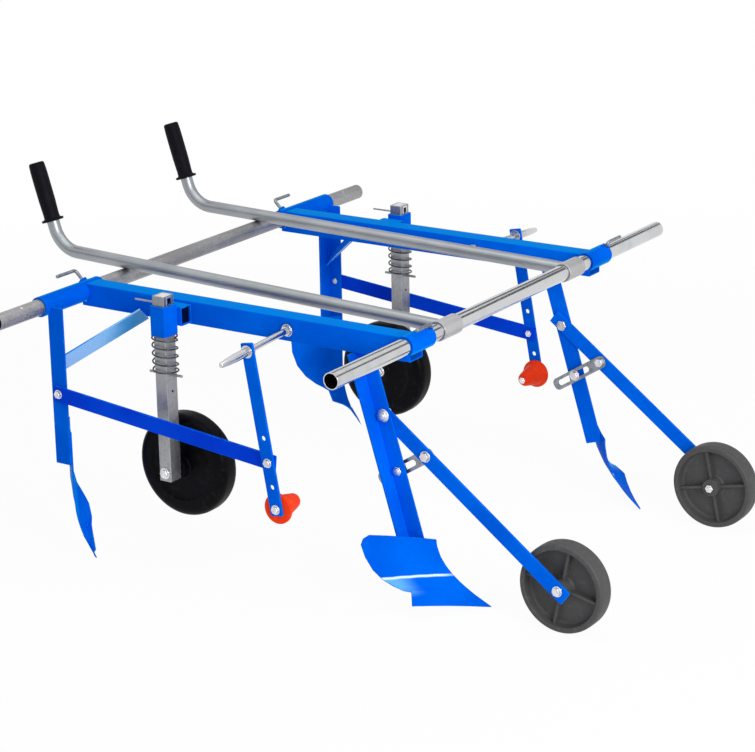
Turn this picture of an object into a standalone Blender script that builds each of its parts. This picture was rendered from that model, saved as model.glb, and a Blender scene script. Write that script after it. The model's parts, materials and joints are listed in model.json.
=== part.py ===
"""Hand-pushed mulch film layer, in metres, +X forward, +Y to the left, +Z up, standing on the floor Z = 0.

Two cross tubes carry two side frames that slide on them. Each side frame holds a furrow plough with its
gauge wheel in front, a film arm with its cone, a sprung press wheel and a covering plough behind.
"""

import math

import bmesh
import bpy
from mathutils import Matrix, Vector

# Fits between pieces
GAP = 0.0003
SLIDE_PLAY = 0.0005
SLOT_PLAY = 0.0008

# Cross tubes
TUBE_RADIUS = 0.0155
TUBE_WALL = 0.0020
TUBE_LENGTH = 1.200
TUBE_SPACING = 0.745
FRONT_TUBE_HEIGHT = 0.500
REAR_TUBE_DROP = 0.007

# Sleeves that slide on the cross tubes, and the screws that clamp them
SLEEVE_WALL = 0.0035
FRONT_SLEEVE_LENGTH = 0.076
REAR_SLEEVE_LENGTH = 0.175
REAR_SLEEVE_INNER_LIP = 0.005
BOSS_RADIUS = 0.0085
BOSS_HEIGHT = 0.004
SCREW_RADIUS = 0.0040
REAR_SCREW_LEAN = 45.0
REAR_SCREW_RISE = 0.023
REAR_SCREW_BAR = 0.055
FRONT_SCREW_LEAN = -30.0
FRONT_SCREW_RISE = 0.0095
FRONT_SCREW_BAR = 0.050
FRONT_SCREW_INSET = 0.012

# Handles
HANDLE_OFFSET = 0.230
HANDLE_RADIUS = 0.0127
HANDLE_WALL = 0.0020
HANDLE_SLEEVE_WALL = 0.0030
HANDLE_SLEEVE_LENGTH = 0.060
HANDLE_RUN = 0.908
HANDLE_BEND_RADIUS = 0.060
HANDLE_LEAN = 17.5
HANDLE_TOE_IN = 0.75
HANDLE_BEND_STEPS = 6
GRIP_START = 0.058
GRIP_LENGTH = 0.120
GRIP_RADIUS = 0.0165
GRIP_WAIST_RADIUS = 0.0153
GRIP_BELLY_START = 0.042
GRIP_BELLY_END = 0.102
GRIP_FLANGE_RADIUS = 0.0220
GRIP_FLANGE_DEPTH = 0.005
GRIP_END_WALL = 0.005

# Side rails
SIDE_OFFSET = 0.331
RAIL_SIZE = 0.044
RAIL_WALL = 0.0025
RAIL_DROP = 0.012

# Press wheel, its post, socket and spring
PRESS_BACK = 0.507
PRESS_OFFSET = 0.405
POST_DEPTH = 0.027
POST_WIDTH = 0.032
POST_WALL = 0.0020
POST_TOP = 0.033
POST_LENGTH = 0.362
SOCKET_WALL = 0.0035
SOCKET_TOP = 0.014
SOCKET_HEIGHT = 0.058
SPACER_LENGTH = 0.050
SPACER_HEIGHT = 0.036
SPACER_WALL = 0.0025
SPRING_WIRE = 0.0032
SPRING_COILS = 4
SPRING_END_COILS = 0.75
SPRING_PITCH = 0.0158
SPRING_CURL_POINTS = 10
SPRING_END_PITCH = 0.0042
PIN_RADIUS = 0.0025
RETAINING_PIN_RADIUS = 0.0018
RETAINING_PIN_REACH = 0.052
SPRING_PIN_REACH = 0.012
PRESS_AXLE_UP = 0.016
PRESS_AXLE_RADIUS = 0.005
PRESS_WHEEL_RADIUS = 0.102
PRESS_WHEEL_WIDTH = 0.056
PRESS_TREAD = 0.028
PRESS_SHOULDER = 0.006
PRESS_DISH = 0.004
PRESS_DISH_RADIUS = 0.080
PRESS_HUB_RADIUS = 0.021
PRESS_HUB_REACH = 0.012

# Film arm, rod, link and cone
ROD_BACK = 0.263
ROD_DROP = 0.020
ROD_RADIUS = 0.006
ROD_END = 0.558
ROD_DROOP = 3.5
ROD_POINT = 0.003
BAR_WIDTH = 0.030
BAR_THICKNESS = 0.005
BAR_CORNER = 0.002
FILM_ARM_WIDTH = 0.026
FILM_ARM_TILT = 10.0
FILM_ARM_ABOVE_ROD = 0.015
FILM_ARM_CONE_DOWN = 0.296
FILM_ARM_BELOW_CONE = 0.012
FILM_ARM_LINK_DOWN = 0.208
FILM_ARM_HOLE_STEP = 0.046
FILM_ARM_HOLE_RADIUS = 0.005
CONE_BOLT_RADIUS = 0.0042
CONE_BASE_RADIUS = 0.029
CONE_LIP = 0.007
CONE_LENGTH = 0.056
CONE_TIP_RADIUS = 0.011
CONE_NOSE = 0.007
CONE_NOSE_SPREAD = 0.0033
LINK_BOLT_RADIUS = 0.0040
LINK_POST_DOWN = 0.169
LINK_END = 0.013

# Rear angle-iron post and its brace
ANGLE_WIDTH = 0.035
ANGLE_WALL = 0.004
REAR_POST_AHEAD = 0.010
REAR_POST_OFFSET = 0.467
REAR_POST_FOOT = 0.182
BRACE_WIDTH = 0.034
BRACE_THICKNESS = 0.004
BRACE_RAIL_AHEAD = 0.182
BRACE_RAIL_DROP = -0.003
BRACE_POST_DROP = 0.117

# Front angle-iron post, swing arm, slotted plate and gauge wheel
FRONT_POST_BACK = 0.1237
FRONT_POST_TILT = 16.8
FRONT_POST_FOOT = 0.1074
FRONT_POST_INSET = 0.002
PIVOT_ALONG_POST = 0.125
PIVOT_BOLT_RADIUS = 0.006
SLOT_BOLT_ALONG_POST = 0.230
SLOT_BOLT_RADIUS = 0.005
ARM_LENGTH = 0.447
ARM_WIDTH = 0.029
ARM_BEHIND_PIVOT = 0.027
ARM_PAST_AXLE = 0.020
PLATE_BOLT_ALONG_ARM = 0.108
PLATE_WIDTH = 0.025
PLATE_CORNER = 0.010
PLATE_THICKNESS = 0.004
PLATE_PAST_BOLT = 0.013
PLATE_LENGTH = 0.122
SLOT_START = 0.029
SLOT_END = 0.111
FRONT_WHEEL_RADIUS = 0.084
FRONT_WHEEL_WIDTH = 0.040
FRONT_HUB_RADIUS = 0.017
FRONT_HUB_PROUD = 0.004
FRONT_RIM_DEPTH = 0.011
FRONT_WEB = 0.007
RIB_THICKNESS = 0.005
RIB_WIDTH = 0.030
RIB_TURN = -12.0
FRONT_AXLE_RADIUS = 0.0048

# Ploughs
PLOUGH_SHEET = 0.003
PLOUGH_HOLLOW = 0.004
FRONT_PLOUGH_LIFT = 0.006
FRONT_PLOUGH_HEIGHT = 0.122
FRONT_PLOUGH_SWEEP = 0.098
FRONT_PLOUGH_TAPER = 0.030
FRONT_PLOUGH_SPREAD = 0.103
FRONT_PLOUGH_TRAIL = 0.087
FRONT_PLOUGH_LEAD = 0.021
REAR_PLOUGH_TOP = 0.247
REAR_PLOUGH_SWEEP = 0.047
REAR_PLOUGH_SPREAD = 0.112
REAR_PLOUGH_TRAIL = 0.100
REAR_PLOUGH_LEAD = 0.0

# Fastener proportions, as shares of the bolt's radius
HEAD_SPREAD = 1.75
HEAD_DEPTH = 1.2
WASHER_SPREAD = 2.0
WASHER_DEPTH = 0.4

ROUND_STEPS = 20
WHEEL_STEPS = 28
BOLT_STEPS = 12
TURN_TO_Y = Matrix.Rotation(math.radians(90.0), 4, "X")
TURN_TO_X = Matrix(((0.0, 0.0, 1.0, 0.0), (1.0, 0.0, 0.0, 0.0), (0.0, 1.0, 0.0, 0.0), (0.0, 0.0, 0.0, 1.0)))

# Places worked out from the sizes above
SLEEVE_BORE = TUBE_RADIUS + SLIDE_PLAY
SLEEVE_RADIUS = SLEEVE_BORE + SLEEVE_WALL
HANDLE_SLEEVE_RADIUS = SLEEVE_BORE + HANDLE_SLEEVE_WALL
REAR_TUBE_HEIGHT = FRONT_TUBE_HEIGHT - REAR_TUBE_DROP
RAIL_HEIGHT = FRONT_TUBE_HEIGHT - RAIL_DROP
RAIL_BOTTOM = RAIL_HEIGHT - RAIL_SIZE / 2.0
RAIL_OUTER = SIDE_OFFSET + RAIL_SIZE / 2.0
RAIL_INNER = SIDE_OFFSET - RAIL_SIZE / 2.0
ROD_HEIGHT = FRONT_TUBE_HEIGHT - ROD_DROP
ROD_FALL = math.tan(math.radians(ROD_DROOP))
LINK_INNER = REAR_POST_OFFSET + GAP
FILM_ARM_INNER = LINK_INNER + BAR_THICKNESS + GAP
FILM_ARM_OUTER = FILM_ARM_INNER + BAR_THICKNESS
FILM_ARM_MIDDLE = (FILM_ARM_INNER + FILM_ARM_OUTER) / 2.0
REAR_POST_LENGTH = REAR_TUBE_HEIGHT - REAR_POST_FOOT
FRONT_POST_LENGTH = (RAIL_BOTTOM - FRONT_POST_FOOT) / math.cos(math.radians(FRONT_POST_TILT))
POST_FLANGE = SIDE_OFFSET + FRONT_POST_INSET
ARM_OUTER = POST_FLANGE - GAP
ARM_INNER = ARM_OUTER - BAR_THICKNESS
PLATE_OUTER = ARM_INNER - GAP
PLATE_INNER = PLATE_OUTER - PLATE_THICKNESS


def clear_scene():
    """Removes every object that the scene starts with."""
    for thing in list(bpy.data.objects):
        bpy.data.objects.remove(thing, do_unlink=True)


def make_collection(name):
    """Adds a collection to the scene.

    Args:
        name: the collection's name.

    Returns:
        The new collection.
    """
    collection = bpy.data.collections.new(name)
    bpy.context.scene.collection.children.link(collection)
    return collection


def make_material(name, colour, metallic, roughness):
    """Makes a Principled material.

    Args:
        name: the material's name.
        colour: linear red, green and blue.
        metallic: 0 for paint and plastic, 1 for bare metal.
        roughness: 0 for a mirror, 1 for chalk.

    Returns:
        The new material.
    """
    material = bpy.data.materials.new(name)
    material.use_nodes = True
    shader = material.node_tree.nodes["Principled BSDF"]
    shader.inputs["Base Color"].default_value = (*colour, 1.0)
    shader.inputs["Metallic"].default_value = metallic
    shader.inputs["Roughness"].default_value = roughness
    return material


clear_scene()
MACHINE = make_collection("film_layer")
CUTTERS = make_collection("cutters")
BLUE_PAINT = make_material("blue_paint", (0.0, 0.10, 0.79), 0.0, 0.25)
CHROME = make_material("chrome", (0.75, 0.75, 0.77), 1.0, 0.08)
GREY_TUBE = make_material("grey_tube", (0.30, 0.30, 0.31), 0.8, 0.40)
ZINC = make_material("zinc", (0.42, 0.42, 0.43), 1.0, 0.35)
BLACK_GRIP = make_material("black_grip", (0.010, 0.010, 0.016), 0.0, 0.55)
BLACK_WHEEL = make_material("black_wheel", (0.006, 0.006, 0.010), 0.0, 0.40)
GREY_WHEEL = make_material("grey_wheel", (0.040, 0.040, 0.043), 0.0, 0.60)
ORANGE_CONE = make_material("orange_cone", (0.90, 0.06, 0.015), 0.0, 0.40)

ORIGIN = bpy.data.objects.new("machine_origin", None)
MACHINE.objects.link(ORIGIN)


def place(name, mesh, material, location, rotation=(0.0, 0.0, 0.0)):
    """Adds a sub-part to the machine.

    Args:
        name: the sub-part's name.
        mesh: its mesh, around its own origin.
        material: its finish.
        location: where its origin sits, from the front tube's axis over the floor.
        rotation: its turn, in radians about X, Y and Z.

    Returns:
        The new object.
    """
    thing = bpy.data.objects.new(name, mesh)
    thing.location = location
    thing.rotation_euler = rotation
    thing.parent = ORIGIN
    mesh.materials.clear()
    mesh.materials.append(material)
    mesh.shade_smooth()
    mesh.set_sharp_from_angle(angle=math.radians(35.0))
    MACHINE.objects.link(thing)
    return thing


def helper(name, mesh, location, rotation=(0.0, 0.0, 0.0)):
    """Adds a hidden solid that cuts a sub-part or is welded to it, and returns it."""
    thing = bpy.data.objects.new(name, mesh)
    thing.location = location
    thing.rotation_euler = rotation
    thing.parent = ORIGIN
    thing.hide_render = True
    thing.display_type = "WIRE"
    CUTTERS.objects.link(thing)
    return thing


def combine(piece, other, operation):
    """Gives a sub-part a Boolean with a hidden solid: DIFFERENCE cuts it away, UNION welds it on."""
    boolean = piece.modifiers.new(other.name, "BOOLEAN")
    boolean.solver = "MANIFOLD"
    boolean.operation = operation
    boolean.object = other


def circle(radius, steps=ROUND_STEPS, centre=(0.0, 0.0)):
    """Returns the points of a circle, anticlockwise."""
    turns = [2.0 * math.pi * step / steps for step in range(steps)]
    return [(centre[0] + radius * math.cos(turn), centre[1] + radius * math.sin(turn)) for turn in turns]


def rounded_box(low, high, radius=0.0, steps=3):
    """Returns the points of a rectangle with rounded corners.

    Args:
        low: its lower left corner.
        high: its upper right corner.
        radius: the corners' radius, or 0 for sharp ones.
        steps: the chords that each corner gets.
    """
    if radius == 0.0:
        return [low, (high[0], low[1]), high, (low[0], high[1])]
    centres = (
        (high[0] - radius, high[1] - radius, 0.0),
        (low[0] + radius, high[1] - radius, 90.0),
        (low[0] + radius, low[1] + radius, 180.0),
        (high[0] - radius, low[1] + radius, 270.0),
    )
    points = []
    for x, y, start in centres:
        for step in range(steps + 1):
            turn = math.radians(start + 90.0 * step / steps)
            points.append((x + radius * math.cos(turn), y + radius * math.sin(turn)))
    return points


def mesh_from_curve(curve, turn):
    """Turns a curve into a closed mesh.

    Args:
        curve: the curve's data, which is used up.
        turn: a matrix that sets the mesh the right way round.

    Returns:
        The mesh.
    """
    name = curve.name
    thing = bpy.data.objects.new(name, curve)
    bpy.context.scene.collection.objects.link(thing)
    evaluated = thing.evaluated_get(bpy.context.evaluated_depsgraph_get())
    mesh = bpy.data.meshes.new_from_object(evaluated)
    bpy.data.objects.remove(thing, do_unlink=True)
    bpy.data.curves.remove(curve)
    mesh.name = name
    work = bmesh.new()
    work.from_mesh(mesh)
    bmesh.ops.remove_doubles(work, verts=work.verts, dist=0.00001)
    bmesh.ops.transform(work, matrix=turn, verts=work.verts)
    bmesh.ops.recalc_face_normals(work, faces=work.faces)
    work.to_mesh(mesh)
    work.free()
    return mesh


def plate(name, loops, depth, turn=TURN_TO_Y):
    """Makes a flat outline with holes into a solid.

    Args:
        name: the mesh's name.
        loops: the outline's points, then the points of each hole.
        depth: the thickness, centred on the outline's plane.
        turn: TURN_TO_Y for an outline in X and Z, TURN_TO_X for one in Y and Z.

    Returns:
        The mesh.
    """
    curve = bpy.data.curves.new(name, "CURVE")
    curve.dimensions = "2D"
    curve.fill_mode = "BOTH"
    curve.extrude = depth / 2.0
    for loop in loops:
        spline = curve.splines.new("POLY")
        spline.points.add(len(loop) - 1)
        for point, (x, y) in zip(spline.points, loop):
            point.co = (x, y, 0.0, 1.0)
        spline.use_cyclic_u = True
    return mesh_from_curve(curve, turn)


def wire(name, points, radius, resolution):
    """Makes a round wire or tube along straight stretches.

    Args:
        name: the mesh's name.
        points: the centre line's points.
        radius: the wire's radius.
        resolution: 1 for six sides, 2 for eight, and so on.

    Returns:
        The mesh.
    """
    curve = bpy.data.curves.new(name, "CURVE")
    curve.dimensions = "3D"
    curve.bevel_depth = radius
    curve.bevel_resolution = resolution
    curve.use_fill_caps = True
    spline = curve.splines.new("POLY")
    spline.points.add(len(points) - 1)
    for point, place_at in zip(spline.points, points):
        point.co = (*place_at, 1.0)
    return mesh_from_curve(curve, Matrix.Identity(4))


def turned(name, profile, material, location, rotation, steps):
    """Adds a turned sub-part, whose profile runs down its outer side and up its bore.

    The profile closes on itself, unless it starts and ends on the axis.

    Args:
        name: the sub-part's name.
        profile: radius and height of each corner.
        material: its finish.
        location: where its origin sits.
        rotation: the turn that lays its axis, local Z, along the real one.
        steps: the chords of a full turn.

    Returns:
        The new object.
    """
    mesh = bpy.data.meshes.new(name)
    corners = [(radius, 0.0, height) for radius, height in profile]
    edges = [(index, index + 1) for index in range(len(corners) - 1)]
    if profile[0][0] > 0.0:
        edges.append((len(corners) - 1, 0))
    mesh.from_pydata(corners, edges, [])
    thing = place(name, mesh, material, location, rotation)
    screw = thing.modifiers.new("turn", "SCREW")
    screw.steps = steps
    screw.render_steps = steps
    screw.use_merge_vertices = True
    screw.merge_threshold = 0.00001
    screw.use_smooth_shade = True
    return thing


def cylinder(name, radius, length, direction, steps=ROUND_STEPS):
    """Makes a cylinder centred on its origin along a direction, and returns its mesh."""
    work = bmesh.new()
    bmesh.ops.create_cone(
        work, cap_ends=True, segments=steps, radius1=radius, radius2=radius, depth=length
    )
    turn = Vector((0.0, 0.0, 1.0)).rotation_difference(Vector(direction)).to_matrix()
    bmesh.ops.rotate(work, verts=work.verts, cent=(0.0, 0.0, 0.0), matrix=turn)
    mesh = bpy.data.meshes.new(name)
    work.to_mesh(mesh)
    work.free()
    return mesh


def bolt(name, stations):
    """Lofts a bolt along local Z from round and hexagonal sections.

    Args:
        name: the mesh's name.
        stations: height, radius and whether the section is a hexagon, from the bottom up.

    Returns:
        The mesh.
    """
    work = bmesh.new()
    rings = []
    for height, radius, hexagonal in stations:
        ring = []
        for step in range(BOLT_STEPS):
            turn = 2.0 * math.pi * step / BOLT_STEPS
            reach = radius
            if hexagonal and step % 2:
                reach = radius * math.cos(math.pi / 6.0)
            ring.append(work.verts.new((reach * math.cos(turn), reach * math.sin(turn), height)))
        rings.append(ring)
    for lower, upper in zip(rings, rings[1:]):
        for step in range(BOLT_STEPS):
            after = (step + 1) % BOLT_STEPS
            work.faces.new((lower[step], lower[after], upper[after], upper[step]))
    work.faces.new(list(reversed(rings[0])))
    work.faces.new(rings[-1])
    mesh = bpy.data.meshes.new(name)
    work.to_mesh(mesh)
    work.free()
    return mesh


def bolt_through(name, radius, inner, outer, thread):
    """Makes a bolt with its head outside, its nut inside and its thread past the nut.

    Args:
        name: the mesh's name.
        radius: the shank's radius.
        inner: how far inside the origin the nut bears.
        outer: how far outside the origin the head bears.
        thread: how far the thread stands past the nut.

    Returns:
        The mesh, along local Z, outward up.
    """
    head = radius * HEAD_SPREAD
    depth = radius * HEAD_DEPTH
    stations = (
        (-inner - depth - thread, radius, False),
        (-inner - depth, radius, False),
        (-inner - depth, head, True),
        (-inner, head, True),
        (-inner, radius, False),
        (outer, radius, False),
        (outer, head, True),
        (outer + depth, head, True),
    )
    return bolt(name, stations)


def trim(mesh, point, normal):
    """Cuts off what lies past a plane and closes the cut, and returns the mesh."""
    work = bmesh.new()
    work.from_mesh(mesh)
    everything = work.verts[:] + work.edges[:] + work.faces[:]
    bmesh.ops.bisect_plane(work, geom=everything, plane_co=point, plane_no=normal, clear_outer=True)
    open_edges = [edge for edge in work.edges if edge.is_boundary]
    bmesh.ops.holes_fill(work, edges=open_edges)
    bmesh.ops.recalc_face_normals(work, faces=work.faces)
    work.to_mesh(mesh)
    work.free()
    return mesh


def sheet(name, rows, location, facing, post):
    """Lofts a plough sheet from rows of points, thickens it evenly and trims its post to lie behind it.

    Args:
        name: the sub-part's name.
        rows: the sheet's points, from its leading edge to its tail, top row first.
        location: where its origin sits.
        facing: a direction on the side that meets the soil.
        post: the post that carries it.
    """
    work = bmesh.new()
    grid = [[work.verts.new(point) for point in row] for row in rows]
    for upper, lower in zip(grid, grid[1:]):
        for column in range(len(upper) - 1):
            work.faces.new((upper[column], lower[column], lower[column + 1], upper[column + 1]))
    work.normal_update()
    if sum((face.normal.dot(Vector(facing)) for face in work.faces)) < 0.0:
        bmesh.ops.reverse_faces(work, faces=work.faces)
    mesh = bpy.data.meshes.new(name)
    work.to_mesh(mesh)
    work.free()
    thing = place(name, mesh, BLUE_PAINT, location)
    solidify = thing.modifiers.new("thickness", "SOLIDIFY")
    solidify.thickness = PLOUGH_SHEET
    solidify.offset = 0.0
    room = helper(name + "_room", mesh, location)
    solidify = room.modifiers.new("thickness", "SOLIDIFY")
    back = PLOUGH_SHEET / 2.0 + GAP
    solidify.thickness = PLOUGH_SHEET * 4.0
    solidify.offset = 1.0 - 2.0 * back / solidify.thickness
    combine(post, room, "DIFFERENCE")


def bowed_row(lead, tail, bow, columns=4):
    """Returns points from a plough's leading edge to its tail, hollowed between them by the bow."""
    points = []
    for column in range(columns + 1):
        share = column / columns
        hollow = Vector(bow) * 4.0 * share * (1.0 - share)
        points.append(Vector(lead).lerp(Vector(tail), share) + hollow)
    return points


def outward(side):
    """Returns the turn that lays local Z outward along Y on a side."""
    return (-side * math.pi / 2.0, 0.0, 0.0)


def ring(name, radius, bore, length):
    """Makes a tube along Y centred on its origin, and returns its mesh."""
    return plate(name, (circle(radius), circle(bore)), length)


# Cross tubes
def cross_tubes():
    """Adds the two tubes that everything slides on."""
    bore = TUBE_RADIUS - TUBE_WALL
    front = ring("front_cross_tube", TUBE_RADIUS, bore, TUBE_LENGTH)
    place("front_cross_tube", front, CHROME, (0.0, 0.0, FRONT_TUBE_HEIGHT))
    rear = ring("rear_cross_tube", TUBE_RADIUS, bore, TUBE_LENGTH)
    place("rear_cross_tube", rear, GREY_TUBE, (-TUBE_SPACING, 0.0, REAR_TUBE_HEIGHT))


# Handles
def handle_line():
    """Works out the handle's centre line in X and Z.

    Returns:
        The points from the front tube to the grip's end, then the grip's foot.
    """
    over_rear = Vector((-TUBE_SPACING, 0.0, REAR_TUBE_HEIGHT - FRONT_TUBE_HEIGHT))
    rise = over_rear.z + TUBE_RADIUS + HANDLE_RADIUS + GAP
    run = Vector((-TUBE_SPACING, 0.0, rise)).normalized()
    corner = run * (HANDLE_RUN / -run.x)
    lean = math.radians(HANDLE_LEAN)
    climb = Vector((-math.sin(lean), 0.0, math.cos(lean)))
    bend = run.angle(climb)
    tangent = HANDLE_BEND_RADIUS * math.tan(bend / 2.0)
    start = corner - run * tangent
    inside = (climb - run * run.dot(climb)).normalized()
    centre = start + inside * HANDLE_BEND_RADIUS
    points = [Vector((0.0, 0.0, 0.0))]
    for step in range(HANDLE_BEND_STEPS + 1):
        turn = bend * step / HANDLE_BEND_STEPS
        spoke = run * math.sin(turn) - inside * math.cos(turn)
        points.append(centre + spoke * HANDLE_BEND_RADIUS)
    foot = corner + climb * GRIP_START
    points.append(foot + climb * (GRIP_LENGTH - GRIP_END_WALL - GAP))
    return points, foot


def handles(side, name):
    """Adds one handle with its sleeve on the front tube and its grip."""
    sleeve = ring("handle_sleeve", HANDLE_SLEEVE_RADIUS, SLEEVE_BORE, HANDLE_SLEEVE_LENGTH)
    front = (0.0, side * HANDLE_OFFSET, FRONT_TUBE_HEIGHT)
    place("handle_sleeve" + name, sleeve, GREY_TUBE, front)
    points, foot = handle_line()
    toe_in = side * math.radians(HANDLE_TOE_IN)
    turn = (0.0, 0.0, toe_in)
    handle = place("handle" + name, wire("handle", points, HANDLE_RADIUS, 4), GREY_TUBE, front, turn)
    climb = (points[-1] - points[-2]).normalized()
    inside = points[:-1] + [points[-1] + climb * HANDLE_RADIUS]
    inside[0] = inside[0] - (points[1] - points[0]).normalized() * HANDLE_RADIUS
    bore = wire("handle_bore", inside, HANDLE_RADIUS - HANDLE_WALL, 4)
    combine(handle, helper("handle_bore" + name, bore, front, turn), "DIFFERENCE")
    saddle = cylinder("handle_saddle", HANDLE_SLEEVE_RADIUS + GAP, HANDLE_SLEEVE_LENGTH, (0.0, 1.0, 0.0))
    combine(handle, helper("handle_saddle" + name, saddle, front), "DIFFERENCE")
    bore_radius = HANDLE_RADIUS + GAP
    profile = (
        (0.0, GRIP_LENGTH),
        (GRIP_WAIST_RADIUS, GRIP_LENGTH),
        (GRIP_RADIUS, GRIP_BELLY_END),
        (GRIP_RADIUS, GRIP_BELLY_START),
        (GRIP_WAIST_RADIUS, GRIP_FLANGE_DEPTH * 2.0),
        (GRIP_WAIST_RADIUS, GRIP_FLANGE_DEPTH),
        (GRIP_FLANGE_RADIUS, GRIP_FLANGE_DEPTH),
        (GRIP_FLANGE_RADIUS, 0.0),
        (bore_radius, 0.0),
        (bore_radius, GRIP_LENGTH - GRIP_END_WALL),
        (0.0, GRIP_LENGTH - GRIP_END_WALL),
    )
    foot.rotate(Matrix.Rotation(toe_in, 3, "Z"))
    place_at = foot + Vector(front)
    lean = (0.0, -math.radians(HANDLE_LEAN), toe_in)
    turned("grip" + name, profile, BLACK_GRIP, place_at, lean, ROUND_STEPS)


# Sleeves, clamp screws and rails
def clamped_sleeve(side, name, centre, length, screw_at, lean, rise, bar):
    """Adds a sleeve with the boss for its clamp screw, and the screw.

    Args:
        side: 1 for the left side, -1 for the right.
        name: the sleeve's name with its side.
        centre: the sleeve's middle on the tube's axis.
        length: the sleeve's length.
        screw_at: the screw's distance from the middle plane.
        lean: the screw's lean behind the vertical, in degrees.
        rise: the height of the screw's bar over the boss.
        bar: the length of the screw's bent bar.
    """
    tilt = math.radians(lean)
    radial = Vector((-math.sin(tilt), 0.0, math.cos(tilt)))
    axis_point = Vector((centre[0], side * screw_at, centre[2]))
    sleeve = place(name, ring(name, SLEEVE_RADIUS, SLEEVE_BORE, length), BLUE_PAINT, centre)
    root = (SLEEVE_BORE + SLEEVE_RADIUS) / 2.0
    top = SLEEVE_RADIUS + BOSS_HEIGHT
    boss = cylinder(name + "_boss", BOSS_RADIUS, top - root, radial)
    combine(sleeve, helper(name + "_boss", boss, axis_point + radial * (top + root) / 2.0), "UNION")
    hole = cylinder(name + "_hole", SCREW_RADIUS + GAP, SLEEVE_RADIUS * 2.0, radial)
    combine(sleeve, helper(name + "_hole", hole, axis_point + radial * SLEEVE_RADIUS * 1.4), "DIFFERENCE")
    clear = TUBE_RADIUS + GAP
    reach = top + rise
    bend = SCREW_RADIUS * 1.5
    points = [
        Vector((0.0, 0.0, 0.0)),
        radial * (reach - clear - bend),
        radial * (reach - clear) + Vector((0.0, side * bend, 0.0)),
        radial * (reach - clear) + Vector((0.0, side * bar, 0.0)),
    ]
    screw_name = name.replace("sleeve", "clamp_screw")
    place(screw_name, wire(screw_name, points, SCREW_RADIUS, 3), ZINC, axis_point + radial * clear)


def sleeves(side, name):
    """Adds both sleeves of a side. The front clamp screw sits at its sleeve's left end on either side."""
    front = Vector((0.0, side * SIDE_OFFSET, FRONT_TUBE_HEIGHT))
    front_screw = SIDE_OFFSET + side * (FRONT_SLEEVE_LENGTH / 2.0 - FRONT_SCREW_INSET)
    clamped_sleeve(
        side, "front_sleeve" + name, front, FRONT_SLEEVE_LENGTH,
        front_screw, FRONT_SCREW_LEAN, FRONT_SCREW_RISE, FRONT_SCREW_BAR,
    )
    rear_middle = RAIL_INNER - REAR_SLEEVE_INNER_LIP + REAR_SLEEVE_LENGTH / 2.0
    rear = Vector((-TUBE_SPACING, side * rear_middle, REAR_TUBE_HEIGHT))
    clamped_sleeve(
        side, "rear_sleeve" + name, rear, REAR_SLEEVE_LENGTH,
        SIDE_OFFSET, REAR_SCREW_LEAN, REAR_SCREW_RISE, REAR_SCREW_BAR,
    )


def square_tube(name, width, height, wall, length, turn):
    """Makes a rectangular tube centred on its origin, and returns its mesh."""
    outer = rounded_box((-width / 2.0, -height / 2.0), (width / 2.0, height / 2.0), wall, 2)
    inner_width = width / 2.0 - wall
    inner_height = height / 2.0 - wall
    inner = rounded_box((-inner_width, -inner_height), (inner_width, inner_height))
    return plate(name, (outer, inner), length, turn)


def rail(side, name):
    """Adds a side rail, hollowed at its ends for the sleeves and drilled for the film rod."""
    centre = (-TUBE_SPACING / 2.0, side * SIDE_OFFSET, RAIL_HEIGHT)
    tube = square_tube("rail", RAIL_SIZE, RAIL_SIZE, RAIL_WALL, TUBE_SPACING, TURN_TO_X)
    piece = place("rail" + name, tube, BLUE_PAINT, centre)
    along = (0.0, 1.0, 0.0)
    width = RAIL_SIZE * 2.0
    saddle = cylinder("rail_saddle", SLEEVE_RADIUS + GAP, width, along)
    front = (0.0, side * SIDE_OFFSET, FRONT_TUBE_HEIGHT)
    rear = (-TUBE_SPACING, side * SIDE_OFFSET, REAR_TUBE_HEIGHT)
    combine(piece, helper("rail_front_saddle" + name, saddle, front), "DIFFERENCE")
    combine(piece, helper("rail_rear_saddle" + name, saddle, rear), "DIFFERENCE")
    drill = cylinder("rail_rod_hole", ROD_RADIUS + GAP * 2.0, width, (0.0, side, -ROD_FALL), BOLT_STEPS)
    rod = (-ROD_BACK, side * SIDE_OFFSET, ROD_HEIGHT + (FILM_ARM_MIDDLE - SIDE_OFFSET) * ROD_FALL)
    combine(piece, helper("rail_rod_hole" + name, drill, rod), "DIFFERENCE")


# Press wheel
def spring_points(radius, length):
    """Works out a compression spring's centre line, with closed ends, from its top down.

    Args:
        radius: the coil's radius at the middle of the wire.
        length: the distance between the ends' middles.

    Returns:
        The points.
    """
    turns = SPRING_COILS + 2.0 * SPRING_END_COILS
    ends = SPRING_END_COILS * SPRING_END_PITCH
    pitch = (length - 2.0 * ends) / SPRING_COILS
    count = round(turns * SPRING_CURL_POINTS)
    points = []
    for index in range(count + 1):
        turn = turns * index / count
        first = min(turn, SPRING_END_COILS)
        middle = min(max(turn - SPRING_END_COILS, 0.0), SPRING_COILS)
        last = max(turn - SPRING_END_COILS - SPRING_COILS, 0.0)
        drop = (first + last) * SPRING_END_PITCH + middle * pitch
        angle = 2.0 * math.pi * turn
        points.append(Vector((radius * math.cos(angle), radius * math.sin(angle), -drop)))
    for end, before in ((0, 1), (-1, -2)):
        tail = (points[end] - points[before]).normalized() * SPRING_WIRE
        points.insert(0 if end == 0 else len(points), points[end] + Vector((tail.x, tail.y, 0.0)))
    return points


def least_gap(points, wire_thickness, points_per_turn):
    """Returns the least air between a coil's turns, measured between points of neighbouring turns."""
    least = math.inf
    for index, point in enumerate(points):
        for other in points[index + points_per_turn // 2:]:
            least = min(least, (point - other).length - wire_thickness)
    return least


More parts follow.
